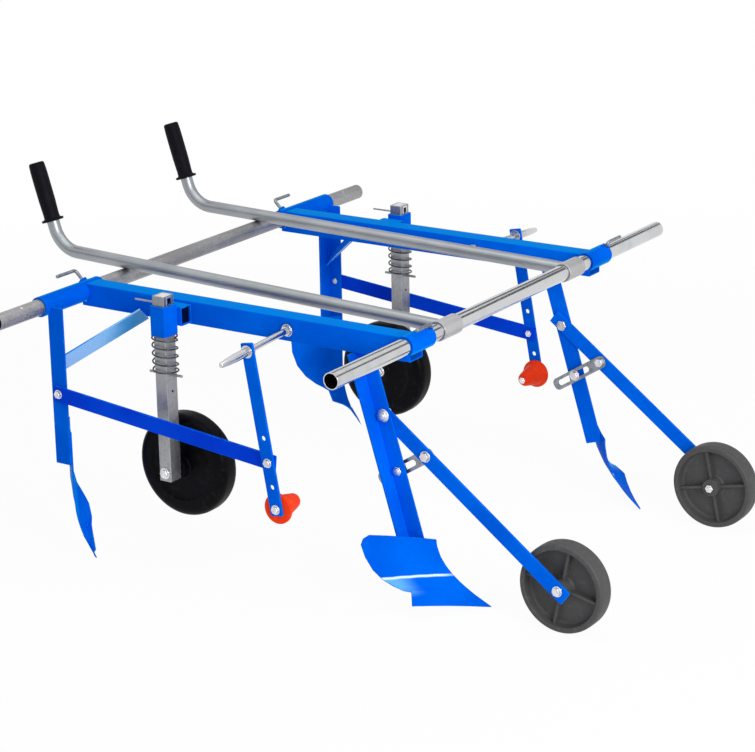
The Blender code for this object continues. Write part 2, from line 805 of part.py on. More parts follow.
def press_wheel(side, name):
    """Adds the sprung press wheel: socket, spacer, post with its pins, spring, axle and wheel."""
    middle = Vector((-PRESS_BACK, side * PRESS_OFFSET, FRONT_TUBE_HEIGHT))
    socket_depth = POST_DEPTH + 2.0 * (SLIDE_PLAY + SOCKET_WALL)
    socket_width = POST_WIDTH + 2.0 * (SLIDE_PLAY + SOCKET_WALL)
    flat = Matrix.Identity(4)
    socket = square_tube("socket", socket_depth, socket_width, SOCKET_WALL, SOCKET_HEIGHT, flat)
    socket_bottom = SOCKET_TOP - SOCKET_HEIGHT
    up = Vector((0.0, 0.0, 1.0))
    place("press_socket" + name, socket, BLUE_PAINT, middle + up * (SOCKET_TOP + socket_bottom) / 2.0)

    spacer_inner = RAIL_OUTER + GAP
    spacer_outer = PRESS_OFFSET - socket_width / 2.0 - GAP
    spacer = square_tube(
        "spacer", spacer_outer - spacer_inner, SPACER_HEIGHT, SPACER_WALL, SPACER_LENGTH, TURN_TO_X
    )
    spacer_at = (-PRESS_BACK, side * (spacer_inner + spacer_outer) / 2.0, RAIL_HEIGHT)
    place("socket_spacer" + name, spacer, BLUE_PAINT, spacer_at)

    post_bottom = POST_TOP - POST_LENGTH
    post = square_tube("press_post", POST_DEPTH, POST_WIDTH, POST_WALL, POST_LENGTH, flat)
    piece = place("press_post" + name, post, GREY_TUBE, middle + up * (POST_TOP + post_bottom) / 2.0)
    corner = math.hypot(POST_DEPTH / 2.0, POST_WIDTH / 2.0)
    wire_radius = SPRING_WIRE / 2.0
    coil = (corner + SLIDE_PLAY + wire_radius) / math.cos(math.pi / SPRING_CURL_POINTS)
    coil_length = SPRING_COILS * SPRING_PITCH + 2.0 * SPRING_END_COILS * SPRING_END_PITCH
    points = spring_points(coil, coil_length)
    coil_gap = least_gap(points, SPRING_WIRE, SPRING_CURL_POINTS)
    print("press_spring" + name, "least gap to itself mm", coil_gap * 1000.0)
    spring_top = socket_bottom - GAP - wire_radius
    spring = wire("press_spring", points, wire_radius, 1)
    place("press_spring" + name, spring, ZINC, middle + up * spring_top)

    pin_along = (1.0, 0.0, 0.0)
    spring_pin = 2.0 * (coil + wire_radius + SPRING_PIN_REACH)
    pin_height = spring_top - coil_length - wire_radius - GAP - PIN_RADIUS
    lower_pin = cylinder("spring_pin", PIN_RADIUS, spring_pin, pin_along, BOLT_STEPS)
    combine(piece, helper("spring_pin" + name, lower_pin, middle + up * pin_height), "UNION")
    front_end = POST_DEPTH / 2.0 + RETAINING_PIN_RADIUS
    back_end = POST_DEPTH / 2.0 + RETAINING_PIN_REACH
    pin_run = front_end + back_end
    upper_pin = cylinder("retaining_pin", RETAINING_PIN_RADIUS, pin_run, pin_along, BOLT_STEPS)
    upper_at = Vector(((front_end - back_end) / 2.0, 0.0, SOCKET_TOP + GAP + RETAINING_PIN_RADIUS))
    combine(piece, helper("retaining_pin" + name, upper_pin, middle + upper_at), "UNION")

    axle_at = middle + up * (post_bottom + PRESS_AXLE_UP)
    drill = cylinder("axle_hole", PRESS_AXLE_RADIUS + GAP, POST_WIDTH * 2.0, (0.0, 1.0, 0.0), BOLT_STEPS)
    combine(piece, helper("axle_hole" + name, drill, axle_at), "DIFFERENCE")
    wheel_outer = PRESS_OFFSET - POST_WIDTH / 2.0 - GAP
    half = PRESS_WHEEL_WIDTH / 2.0
    wheel_middle = wheel_outer - PRESS_HUB_REACH - half
    wheel_at = Vector((axle_at.x, side * wheel_middle, axle_at.z))
    bore = PRESS_AXLE_RADIUS + GAP
    dish = half - PRESS_DISH
    flank = (
        (PRESS_HUB_RADIUS + PRESS_DISH, dish),
        (PRESS_DISH_RADIUS, dish),
        (PRESS_WHEEL_RADIUS - PRESS_SHOULDER, dish - PRESS_DISH / 2.0),
        (PRESS_WHEEL_RADIUS, PRESS_TREAD / 2.0),
    )
    profile = [(bore, half + PRESS_HUB_REACH), (PRESS_HUB_RADIUS, half + PRESS_HUB_REACH)]
    profile += flank
    profile += [(radius, -height) for radius, height in reversed(flank)]
    profile += [(PRESS_HUB_RADIUS, -half), (bore, -half)]
    turned("press_wheel" + name, profile, BLACK_WHEEL, wheel_at, outward(side), WHEEL_STEPS)
    inner_end = PRESS_HUB_REACH + PRESS_WHEEL_WIDTH + POST_WIDTH / 2.0 + GAP * 2.0
    outer_end = POST_WIDTH / 2.0 + GAP
    axle = bolt_through("press_axle", PRESS_AXLE_RADIUS, inner_end, outer_end, PIN_RADIUS)
    place("press_axle" + name, axle, ZINC, axle_at, outward(side))


# Film arm
def film_arm(side, name):
    """Adds the film rod, the arm that hangs on it, the cone on its bolt, and the link to the rear post."""
    arm_at = Vector((-ROD_BACK, side * FILM_ARM_MIDDLE, ROD_HEIGHT))
    droop = math.radians(ROD_DROOP)
    stretch = 1.0 / math.cos(droop)
    nut = ROD_RADIUS * HEAD_SPREAD
    nut_depth = ROD_RADIUS * HEAD_DEPTH
    washer = ROD_RADIUS * WASHER_SPREAD
    washer_depth = ROD_RADIUS * WASHER_DEPTH
    inner_nut = (RAIL_INNER - FILM_ARM_MIDDLE) * stretch - nut * ROD_FALL - GAP
    outer_nut = (RAIL_OUTER - FILM_ARM_MIDDLE) * stretch + nut * ROD_FALL + GAP
    washer_face = BAR_THICKNESS / 2.0 * stretch + washer * ROD_FALL + GAP
    tip = (ROD_END - FILM_ARM_MIDDLE) * stretch
    stations = (
        (inner_nut - nut_depth - PIN_RADIUS, ROD_RADIUS, False),
        (inner_nut - nut_depth, ROD_RADIUS, False),
        (inner_nut - nut_depth, nut, True),
        (inner_nut, nut, True),
        (inner_nut, ROD_RADIUS, False),
        (outer_nut, ROD_RADIUS, False),
        (outer_nut, nut, True),
        (outer_nut + nut_depth, nut, True),
        (outer_nut + nut_depth, ROD_RADIUS, False),
        (-washer_face - washer_depth, ROD_RADIUS, False),
        (-washer_face - washer_depth, washer, False),
        (-washer_face, washer, False),
        (-washer_face, ROD_RADIUS, False),
        (washer_face, ROD_RADIUS, False),
        (washer_face, washer, False),
        (washer_face + washer_depth, washer, False),
        (washer_face + washer_depth, ROD_RADIUS, False),
        (tip - ROD_POINT, ROD_RADIUS, False),
        (tip, ROD_RADIUS - ROD_POINT, False),
    )
    rod_turn = (-side * (math.pi / 2.0 + droop), 0.0, 0.0)
    place("film_rod" + name, bolt("film_rod", stations), CHROME, arm_at, rod_turn)

    tilt = math.radians(FILM_ARM_TILT)
    along = Vector((math.sin(tilt), 0.0, -math.cos(tilt)))
    low = (-FILM_ARM_ABOVE_ROD, -FILM_ARM_WIDTH / 2.0)
    high = (FILM_ARM_CONE_DOWN + FILM_ARM_BELOW_CONE, FILM_ARM_WIDTH / 2.0)
    spare_holes = (FILM_ARM_LINK_DOWN - FILM_ARM_HOLE_STEP, FILM_ARM_LINK_DOWN + FILM_ARM_HOLE_STEP)
    loops = [
        rounded_box(low, high, BAR_CORNER),
        circle(ROD_RADIUS + BAR_THICKNESS * ROD_FALL / 2.0 + GAP * 2.0, BOLT_STEPS),
        circle(CONE_BOLT_RADIUS + GAP, BOLT_STEPS, (FILM_ARM_CONE_DOWN, 0.0)),
    ]
    loops += [circle(FILM_ARM_HOLE_RADIUS, BOLT_STEPS, (down, 0.0)) for down in spare_holes]
    hang = (0.0, math.pi / 2.0 - tilt, 0.0)
    arm = place("film_arm" + name, plate("film_arm", loops, BAR_THICKNESS), BLUE_PAINT, arm_at, hang)

    cone_at = arm_at + along * FILM_ARM_CONE_DOWN
    cone_face = BAR_THICKNESS / 2.0 + GAP
    bore = CONE_BOLT_RADIUS + GAP
    profile = (
        (CONE_BASE_RADIUS, 0.0),
        (CONE_BASE_RADIUS, -CONE_LIP),
        (CONE_TIP_RADIUS + CONE_NOSE_SPREAD, -CONE_LENGTH + CONE_NOSE),
        (CONE_TIP_RADIUS, -CONE_LENGTH),
        (bore, -CONE_LENGTH),
        (bore, 0.0),
    )
    cone_place = cone_at - Vector((0.0, side * cone_face, 0.0))
    turned("film_cone" + name, profile, ORANGE_CONE, cone_place, outward(side), WHEEL_STEPS)
    cone_nut = cone_face + CONE_LENGTH + GAP
    cone_bolt = bolt_through("cone_bolt", CONE_BOLT_RADIUS, cone_nut, cone_face, PIN_RADIUS)
    place("cone_bolt" + name, cone_bolt, ZINC, cone_at, outward(side))

    link_front = arm_at + along * FILM_ARM_LINK_DOWN
    link_back = Vector((rear_bolt_x(), 0.0, REAR_TUBE_HEIGHT - LINK_POST_DOWN))
    run = Vector((link_front.x - link_back.x, 0.0, link_front.z - link_back.z))
    hole = LINK_BOLT_RADIUS + GAP
    loops = (
        rounded_box((-LINK_END, -BAR_WIDTH / 2.0), (run.length + LINK_END, BAR_WIDTH / 2.0), BAR_CORNER),
        circle(hole, BOLT_STEPS),
        circle(hole, BOLT_STEPS, (run.length, 0.0)),
    )
    link_middle = LINK_INNER + BAR_THICKNESS / 2.0
    slope = (0.0, math.atan2(-run.z, run.x), 0.0)
    link_at = Vector((link_back.x, side * link_middle, link_back.z))
    place("link_bar" + name, plate("link_bar", loops, BAR_THICKNESS), BLUE_PAINT, link_at, slope)
    nut_face = BAR_THICKNESS * 1.5 + GAP * 2.0
    link_bolt = bolt_through("link_bolt", LINK_BOLT_RADIUS, nut_face, BAR_THICKNESS / 2.0 - GAP, PIN_RADIUS)
    combine(arm, helper("link_bolt" + name, link_bolt, link_front, outward(side)), "UNION")


def rear_bolt_x():
    """Returns where the link's bolt sits along X, at the middle of the rear post's outer flange."""
    return -TUBE_SPACING + REAR_POST_AHEAD + (ANGLE_WIDTH + ANGLE_WALL) / 2.0


# Rear post
def angle_iron(width, wall, across):
    """Returns an angle iron's outline from its outer corner, with its second flange toward across."""
    flip = math.copysign(1.0, across)
    return (
        (0.0, 0.0),
        (width, 0.0),
        (width, flip * wall),
        (wall, flip * wall),
        (wall, flip * width),
        (0.0, flip * width),
    )


def rear_post(side, name):
    """Adds the rear angle-iron post with the link's bolt, and the brace from it to the rail."""
    corner_x = -TUBE_SPACING + REAR_POST_AHEAD
    outline = angle_iron(ANGLE_WIDTH, ANGLE_WALL, -side)
    height = REAR_POST_LENGTH
    mesh = plate("rear_post", (outline,), height, Matrix.Identity(4))
    top = REAR_TUBE_HEIGHT
    corner = Vector((corner_x, side * REAR_POST_OFFSET, top - height / 2.0))
    post = place("rear_post" + name, mesh, BLUE_PAINT, corner)
    saddle = cylinder("post_saddle", SLEEVE_RADIUS + GAP, REAR_SLEEVE_LENGTH * 2.0, (0.0, 1.0, 0.0))
    saddle_at = (-TUBE_SPACING, side * REAR_POST_OFFSET, REAR_TUBE_HEIGHT)
    combine(post, helper("post_saddle" + name, saddle, saddle_at), "DIFFERENCE")
    bolt_at = Vector((rear_bolt_x(), side * REAR_POST_OFFSET, REAR_TUBE_HEIGHT - LINK_POST_DOWN))
    outer_face = BAR_THICKNESS + GAP * 2.0
    fixing = bolt_through("post_bolt", LINK_BOLT_RADIUS, ANGLE_WALL / 2.0, outer_face, PIN_RADIUS)
    combine(post, helper("post_bolt" + name, fixing, bolt_at, outward(side)), "UNION")

    rail_end = Vector((-TUBE_SPACING + BRACE_RAIL_AHEAD, side * RAIL_OUTER, RAIL_HEIGHT - BRACE_RAIL_DROP))
    post_end = Vector((
        corner_x + ANGLE_WALL + BRACE_THICKNESS * 2.0,
        side * (REAR_POST_OFFSET - ANGLE_WALL - BRACE_THICKNESS),
        REAR_TUBE_HEIGHT - BRACE_POST_DROP,
    ))
    along = (rail_end - post_end).normalized()
    across = Vector((0.0, -side, -1.0))
    across = (across - along * across.dot(along)).normalized()
    facing = along.cross(across)
    half_width = BRACE_WIDTH / 2.0
    inner_corner = abs(across.y) * half_width + abs(facing.y) * BRACE_THICKNESS / 2.0 + GAP
    square_end = rail_end - along * inner_corner / abs(along.y)
    spare = BRACE_WIDTH
    length = (square_end - post_end).length + spare
    bar = plate(
        "brace",
        (rounded_box((-length, -half_width), (0.0, half_width)),),
        BRACE_THICKNESS,
        Matrix((along, across, facing)).transposed().to_4x4(),
    )
    flange = side * (REAR_POST_OFFSET - ANGLE_WALL - GAP)
    trim(bar, Vector((0.0, flange, 0.0)) - square_end, Vector((0.0, side, 0.0)))
    trim(bar, Vector((corner_x + ANGLE_WALL + GAP, 0.0, 0.0)) - square_end, Vector((-1.0, 0.0, 0.0)))
    place("brace" + name, bar, BLUE_PAINT, square_end)


# Front post and gauge wheel
def front_wheel(side, name):
    """Adds the front post with its bolts, the swing arm, the slotted plate, the axle and the gauge wheel."""
    tilt = math.radians(FRONT_POST_TILT)
    down = Vector((math.sin(tilt), 0.0, -math.cos(tilt)))
    ahead = Vector((math.cos(tilt), 0.0, math.sin(tilt)))
    foot = Vector((-FRONT_POST_BACK, side * POST_FLANGE, RAIL_BOTTOM))
    spare = ANGLE_WIDTH
    length = FRONT_POST_LENGTH + spare
    outline = angle_iron(ANGLE_WIDTH, ANGLE_WALL, side)
    mesh = plate("front_post", (outline,), length, Matrix.Rotation(-tilt, 4, "Y"))
    middle = foot + down * (FRONT_POST_LENGTH - spare) / 2.0
    top_plane = Vector((0.0, 0.0, RAIL_BOTTOM - GAP)) - middle
    trim(mesh, top_plane, Vector((0.0, 0.0, 1.0)))
    post = place("front_post" + name, mesh, BLUE_PAINT, middle)

    mid_flange = ahead * (ANGLE_WIDTH + ANGLE_WALL) / 2.0
    pivot = foot + mid_flange + down * PIVOT_ALONG_POST
    slot_bolt_at = foot + mid_flange + down * SLOT_BOLT_ALONG_POST
    inward = outward(-side)
    pivot_head = BAR_THICKNESS + GAP * 2.0
    pivot_bolt = bolt_through("pivot_bolt", PIVOT_BOLT_RADIUS, ANGLE_WALL / 2.0, pivot_head, PIN_RADIUS)
    combine(post, helper("pivot_bolt" + name, pivot_bolt, pivot, inward), "UNION")
    slot_head = POST_FLANGE - PLATE_INNER + GAP
    slot_bolt = bolt_through("slot_bolt", SLOT_BOLT_RADIUS, ANGLE_WALL / 2.0, slot_head, PIN_RADIUS)
    combine(post, helper("slot_bolt" + name, slot_bolt, slot_bolt_at, inward), "UNION")

    drop = math.asin((pivot.z - FRONT_WHEEL_RADIUS) / ARM_LENGTH)
    arm_along = Vector((math.cos(drop), 0.0, -math.sin(drop)))
    arm_low = (-ARM_BEHIND_PIVOT, -ARM_WIDTH / 2.0)
    arm_high = (ARM_LENGTH + ARM_PAST_AXLE, ARM_WIDTH / 2.0)
    loops = (
        rounded_box(arm_low, arm_high, BAR_CORNER),
        circle(PIVOT_BOLT_RADIUS + GAP, BOLT_STEPS),
        circle(SLOT_BOLT_RADIUS + GAP, BOLT_STEPS, (PLATE_BOLT_ALONG_ARM, 0.0)),
        circle(FRONT_AXLE_RADIUS + GAP, BOLT_STEPS, (ARM_LENGTH, 0.0)),
    )
    arm_middle = side * (ARM_INNER + ARM_OUTER) / 2.0
    arm_at = Vector((pivot.x, arm_middle, pivot.z))
    arm = plate("front_arm", loops, BAR_THICKNESS)
    place("front_arm" + name, arm, BLUE_PAINT, arm_at, (0.0, drop, 0.0))

    plate_bolt_at = pivot + arm_along * PLATE_BOLT_ALONG_ARM
    reach = slot_bolt_at - plate_bolt_at
    slot_half = SLOT_BOLT_RADIUS + SLOT_PLAY
    plate_low = (-PLATE_PAST_BOLT, -PLATE_WIDTH / 2.0)
    plate_high = (PLATE_LENGTH, PLATE_WIDTH / 2.0)
    loops = (
        rounded_box(plate_low, plate_high, PLATE_CORNER),
        rounded_box((SLOT_START, -slot_half), (SLOT_END, slot_half), slot_half * 0.999, 4),
    )
    slotted = plate("slotted_plate", loops, PLATE_THICKNESS)
    plate_middle = side * (PLATE_INNER + PLATE_OUTER) / 2.0
    plate_at = Vector((plate_bolt_at.x, plate_middle, plate_bolt_at.z))
    swing = (0.0, math.atan2(-reach.z, reach.x), 0.0)
    slotted_plate = place("slotted_plate" + name, slotted, ZINC, plate_at, swing)
    arm_face = PLATE_THICKNESS / 2.0 + BAR_THICKNESS + GAP * 2.0
    plate_bolt = bolt_through("plate_bolt", SLOT_BOLT_RADIUS, PLATE_THICKNESS / 4.0, arm_face, 0.0)
    combine(slotted_plate, helper("plate_bolt" + name, plate_bolt, plate_at, outward(side)), "UNION")

    axle_at = arm_at + arm_along * ARM_LENGTH
    half = FRONT_WHEEL_WIDTH / 2.0
    hub_half = half + FRONT_HUB_PROUD
    hub_outer = BAR_THICKNESS / 2.0 + GAP
    wheel_at = axle_at - Vector((0.0, side * (hub_outer + hub_half), 0.0))
    rim_inside = FRONT_WHEEL_RADIUS - FRONT_RIM_DEPTH
    bore = FRONT_AXLE_RADIUS + GAP
    upper_side = (
        (bore, hub_half),
        (FRONT_HUB_RADIUS, hub_half),
        (FRONT_HUB_RADIUS + FRONT_WEB / 2.0, FRONT_WEB / 2.0),
        (rim_inside - FRONT_WEB / 2.0, FRONT_WEB / 2.0),
        (rim_inside, half),
        (FRONT_WHEEL_RADIUS - FRONT_RIM_DEPTH / 4.0, half),
        (FRONT_WHEEL_RADIUS, half - FRONT_RIM_DEPTH / 3.0),
    )
    lower_side = [(radius, -height) for radius, height in reversed(upper_side)]
    profile = (*upper_side, *lower_side)
    wheel = turned("front_wheel" + name, profile, GREY_WHEEL, wheel_at, outward(side), WHEEL_STEPS)
    work = bmesh.new()
    rib_start = (bore + FRONT_HUB_RADIUS) / 2.0
    rib_end = rim_inside + FRONT_RIM_DEPTH / 4.0
    for quarter in range(4):
        cube = bmesh.ops.create_cube(work, size=1.0)["verts"]
        size = (rib_end - rib_start, RIB_THICKNESS, RIB_WIDTH)
        bmesh.ops.scale(work, verts=cube, vec=size)
        bmesh.ops.translate(work, verts=cube, vec=((rib_start + rib_end) / 2.0, 0.0, 0.0))
        turn = Matrix.Rotation(math.radians(90.0 * quarter + RIB_TURN), 3, "Z")
        bmesh.ops.rotate(work, verts=cube, cent=(0.0, 0.0, 0.0), matrix=turn)
    ribs = bpy.data.meshes.new("wheel_ribs")
    work.to_mesh(ribs)
    work.free()
    combine(wheel, helper("wheel_ribs" + name, ribs, wheel_at, outward(side)), "UNION")
    nut_face = hub_outer + hub_half * 2.0 + GAP
    axle = bolt_through("front_axle", FRONT_AXLE_RADIUS, nut_face, hub_outer, PIN_RADIUS)
    place("front_axle" + name, axle, ZINC, axle_at, outward(side))


# Ploughs
def ahead_of_post(toe, run, lead):
    """Works out where a plough's leading edge starts, so that its sheet lies just ahead of a post's toe.

    Args:
        toe: the toe's X and its distance from the middle plane.
        run: the sheet's run back and sideways, from its leading edge to its tail.
        lead: how far the leading edge stands past the toe.

    Returns:
        The leading edge's X and its distance from the middle plane.
    """
    along = Vector(run).normalized()
    ahead = Vector((abs(along.y), -along.x * math.copysign(1.0, along.y)))
    clear = PLOUGH_SHEET / 2.0
    start = Vector(toe) + ahead * clear - along * lead
    return start.x, start.y


def front_plough(side, name):
    """Adds the furrow plough on the foot of the front post, which throws soil outward."""
    tilt = math.radians(FRONT_POST_TILT)
    down = Vector((math.sin(tilt), 0.0, -math.cos(tilt)))
    ahead = Vector((math.cos(tilt), 0.0, math.sin(tilt)))
    foot = Vector((-FRONT_POST_BACK, 0.0, RAIL_BOTTOM))
    toe = foot + ahead * ANGLE_WIDTH + down * FRONT_POST_LENGTH
    top = FRONT_PLOUGH_LIFT + FRONT_PLOUGH_HEIGHT
    lead_x, lead_y = ahead_of_post(
        (toe.x, POST_FLANGE + ANGLE_WALL), (-FRONT_PLOUGH_TRAIL, FRONT_PLOUGH_SPREAD), FRONT_PLOUGH_LEAD
    )
    height = FRONT_PLOUGH_HEIGHT
    sweep = FRONT_PLOUGH_SWEEP
    spread = FRONT_PLOUGH_SPREAD
    trail = FRONT_PLOUGH_TRAIL
    taper = FRONT_PLOUGH_TAPER
    # Each row: the drop of its leading edge and of its tail, as shares of the height, and its reach
    shares = (
        (0.00, -0.20, 0.94),
        (0.05, -0.15, 1.03),
        (0.12, -0.06, 1.07),
        (0.28, 0.14, 1.06),
        (0.42, 0.34, 1.03),
        (0.55, 0.49, 0.99),
        (0.66, 0.59, 0.94),
        (0.76, 0.65, 0.91),
        (0.84, 0.66, 0.90),
        (1.00, 0.82, 1.12),
    )
    rows = []
    for drop, tail_drop, reach in shares:
        lead = Vector((sweep * drop ** 2.15, -taper * drop ** 1.5, -height * drop))
        tail = Vector((lead.x - trail * reach, lead.y + spread * reach, -height * tail_drop))
        bow = (-PLOUGH_HOLLOW * 0.7, -PLOUGH_HOLLOW * 0.7, 0.0)
        points = bowed_row(lead, tail, bow)
        rows.append([Vector((point.x, side * point.y, point.z)) for point in points])
    post = bpy.data.objects["front_post" + name]
    sheet("front_plough" + name, rows, (lead_x, side * lead_y, top), (1.0, side, 0.0), post)


def rear_plough(side, name):
    """Adds the covering plough on the rear post, which throws soil inward."""
    toe_x = -TUBE_SPACING + REAR_POST_AHEAD + ANGLE_WIDTH
    lead_x, lead_y = ahead_of_post(
        (toe_x, REAR_POST_OFFSET - ANGLE_WALL), (-REAR_PLOUGH_TRAIL, -REAR_PLOUGH_SPREAD), REAR_PLOUGH_LEAD
    )
    height = REAR_PLOUGH_TOP
    sweep = REAR_PLOUGH_SWEEP
    spread = REAR_PLOUGH_SPREAD
    trail = REAR_PLOUGH_TRAIL
    # Each row: its leading edge's shares of the drop and sweep, then its tail's of the drop, trail and spread
    shares = (
        (0.00, 0.00, 0.02, 0.76, 0.76),
        (0.20, 0.00, 0.19, 0.77, 0.77),
        (0.32, 0.00, 0.30, 0.76, 0.76),
        (0.45, 0.00, 0.43, 0.69, 0.69),
        (0.56, 0.02, 0.53, 0.52, 0.61),
        (0.65, 0.07, 0.59, 0.31, 0.54),
        (0.71, 0.14, 0.62, 0.17, 0.48),
        (0.77, 0.24, 0.65, 0.06, 0.43),
        (0.84, 0.40, 0.75, -0.02, 0.40),
        (0.88, 0.54, 0.78, -0.16, 0.24),
        (0.93, 0.74, 0.83, -0.30, 0.12),
        (0.9975, 1.00, 0.94, -0.42, 0.05),
    )
    rows = []
    for drop, lead_sweep, tail_drop, back, reach in shares:
        lead = (sweep * lead_sweep, 0.0, -height * drop)
        tail = (-trail * back, -spread * reach, -height * tail_drop)
        bow = (-PLOUGH_HOLLOW * 0.8, PLOUGH_HOLLOW * 0.6, 0.0)
        points = bowed_row(lead, tail, bow)
        rows.append([Vector((point.x, side * point.y, point.z)) for point in points])
    post = bpy.data.objects["rear_post" + name]
    sheet("rear_plough" + name, rows, (lead_x, side * lead_y, height), (1.0, -side, 0.0), post)


def centre_origin():
    """Moves the machine so that the middle of its length stands over the origin."""
    bpy.context.view_layer.update()
    spans = []
    for thing in MACHINE.objects:
        if thing.type == "MESH":
            evaluated = thing.evaluated_get(bpy.context.evaluated_depsgraph_get())
            spans += [(thing.matrix_world @ Vector(corner)).x for corner in evaluated.bound_box]
    ORIGIN.location.x = -(min(spans) + max(spans)) / 2.0


cross_tubes()
for side_sign, side_name in ((-1.0, "_r"), (1.0, "_l")):
    handles(side_sign, side_name)
    sleeves(side_sign, side_name)
    rail(side_sign, side_name)
    press_wheel(side_sign, side_name)
    film_arm(side_sign, side_name)
    rear_post(side_sign, side_name)
    front_wheel(side_sign, side_name)
    front_plough(side_sign, side_name)
    rear_plough(side_sign, side_name)
centre_origin()
bpy.context.view_layer.update()
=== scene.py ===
"""Dresses a hand-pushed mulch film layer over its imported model, in metres, +X forward, +Y left, +Z up."""

import json
import logging
import math
from dataclasses import dataclass
from enum import Enum
from functools import lru_cache
from typing import Any, Sequence

import bmesh
import bpy
from mathutils import Matrix, Vector


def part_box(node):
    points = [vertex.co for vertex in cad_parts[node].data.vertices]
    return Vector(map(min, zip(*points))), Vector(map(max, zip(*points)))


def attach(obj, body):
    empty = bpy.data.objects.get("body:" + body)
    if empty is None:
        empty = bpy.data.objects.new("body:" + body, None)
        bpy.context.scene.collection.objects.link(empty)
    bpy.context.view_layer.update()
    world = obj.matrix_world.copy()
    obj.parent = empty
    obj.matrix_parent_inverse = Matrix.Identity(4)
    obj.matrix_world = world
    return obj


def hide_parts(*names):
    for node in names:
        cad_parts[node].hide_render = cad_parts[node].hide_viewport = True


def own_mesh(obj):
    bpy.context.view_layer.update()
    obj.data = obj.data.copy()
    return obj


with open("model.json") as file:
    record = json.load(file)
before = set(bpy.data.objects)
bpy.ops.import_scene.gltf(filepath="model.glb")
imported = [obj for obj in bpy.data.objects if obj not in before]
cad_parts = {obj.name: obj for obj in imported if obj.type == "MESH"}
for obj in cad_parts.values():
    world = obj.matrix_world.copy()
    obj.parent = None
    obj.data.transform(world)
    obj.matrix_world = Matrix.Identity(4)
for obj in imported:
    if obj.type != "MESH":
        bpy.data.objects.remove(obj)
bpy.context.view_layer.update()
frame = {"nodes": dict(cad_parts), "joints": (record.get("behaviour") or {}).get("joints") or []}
LOG = logging.getLogger("film_layer")
Pair = tuple[float, float]
Triple = tuple[float, float, float]
Colour = Triple
Edges = list[bmesh.types.BMEdge]
UP = Vector((0.0, 0.0, 1.0))
WHITE = (1.0, 1.0, 1.0, 1.0)
QUARTER_TURN = math.pi / 2.0
FULL_TURN = 2.0 * math.pi
# The play between a piece and what it fits.
PLAY = 0.0003
# The width of most rounded edges, and of those on the large bolts.
EDGE = 0.0006
BOLT_EDGE = 0.0007
# A bolt head's radius over its shank's, its number of sides, and how far inside it the shank ends.
HEAD_RATIO = 1.75
HEX = 6
SHANK_INSET = 0.002
# Edges sharper than this many degrees are rounded, and shade as edges.
SHARP = 50.0
# Faces of a CAD node within this many degrees of each other are made one again.
FLAT = 1.0
# Corners closer than this are merged in a copy of a CAD node, and at the seam of a turned piece.
NODE_MERGE = 0.00001
SEAM_MERGE = 0.000002


class Side(Enum):
    """A side of the machine, as the person who pushes it sees it."""

    RIGHT = "right"
    LEFT = "left"

    @property
    def sign(self) -> float:
        """Returns the side's direction along Y."""
        return 1.0 if self is Side.LEFT else -1.0

    def node(self, name: str) -> str:
        """Returns the name of a CAD node or a piece on this side."""
        return f"{name}_{self.value[0]}"

    def body(self, name: str) -> str:
        """Returns the name of a CAD body or joint on this side."""
        return f"{self.value}_{name}"

    def outward(self, x: float, z: float, droop: float = 0.0, y: float = 0.0) -> Matrix:
        """Lays local Z outward along Y on this side.

        Args:
            x: where the axis lies along X.
            z: where it lies along Z.
            droop: how far its outer end falls, in radians.
            y: the distance from the middle plane at which local Z is 0.

        Returns:
            The matrix.
        """
        turn = Matrix.Rotation(-self.sign * (QUARTER_TURN + droop), 4, "X")
        return Matrix.Translation((x, self.sign * y, z)) @ turn


class Slot(Enum):
    """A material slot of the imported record."""

    PAINT = "blue_paint"
    CHROME = "chrome"
    TUBE = "grey_tube"
    ZINC = "zinc"
    GRIP = "black_grip"
    PRESS_WHEEL = "black_wheel"
    GAUGE_WHEEL = "grey_wheel"
    CONE = "orange_cone"


class Term:
    """A value in a shader's sums, whose operators add Math nodes."""

    def __init__(self, nodes: "Nodes", socket: bpy.types.NodeSocket) -> None:
        """Keeps the socket and the nodes that it belongs to."""
        self.nodes = nodes
        self.socket = socket

    def sum(self, operation: str, first: "Term | float", second: "Term | float") -> "Term":
        """Adds a Math node.

        Args:
            operation: the node's operation.
            first: its first value.
            second: its second value.

        Returns:
            The result.
        """
        node = self.nodes.add("ShaderNodeMath", {"operation": operation}, {0: first, 1: second})
        return Term(self.nodes, node.outputs[0])

    def __add__(self, other: "Term | float") -> "Term":
        """Adds a value."""
        return self.sum("ADD", self, other)

    __radd__ = __add__

    def __sub__(self, other: "Term | float") -> "Term":
        """Takes a value away."""
        return self.sum("SUBTRACT", self, other)

    def __rsub__(self, other: "Term | float") -> "Term":
        """Takes this value away from another."""
        return self.sum("SUBTRACT", other, self)

    def __mul__(self, other: "Term | float") -> "Term":
        """Multiplies by a value."""
        return self.sum("MULTIPLY", self, other)

    __rmul__ = __mul__

    def __abs__(self) -> "Term":
        """Drops the sign."""
        return self.sum("ABSOLUTE", self, 0.0)

    def between(self, low: float, high: float) -> "Term":
        """Rises smoothly from 0 at one value to 1 at another, and stays level past both.

        Args:
            low: the value that gives 0.
            high: the value that gives 1, which may be the lower one.

        Returns:
            The result.
        """
        settings = {"interpolation_type": "SMOOTHSTEP"}
        node = self.nodes.add("ShaderNodeMapRange", settings, {0: self, 1: low, 2: high, 3: 0.0, 4: 1.0})
        return Term(self.nodes, node.outputs[0])


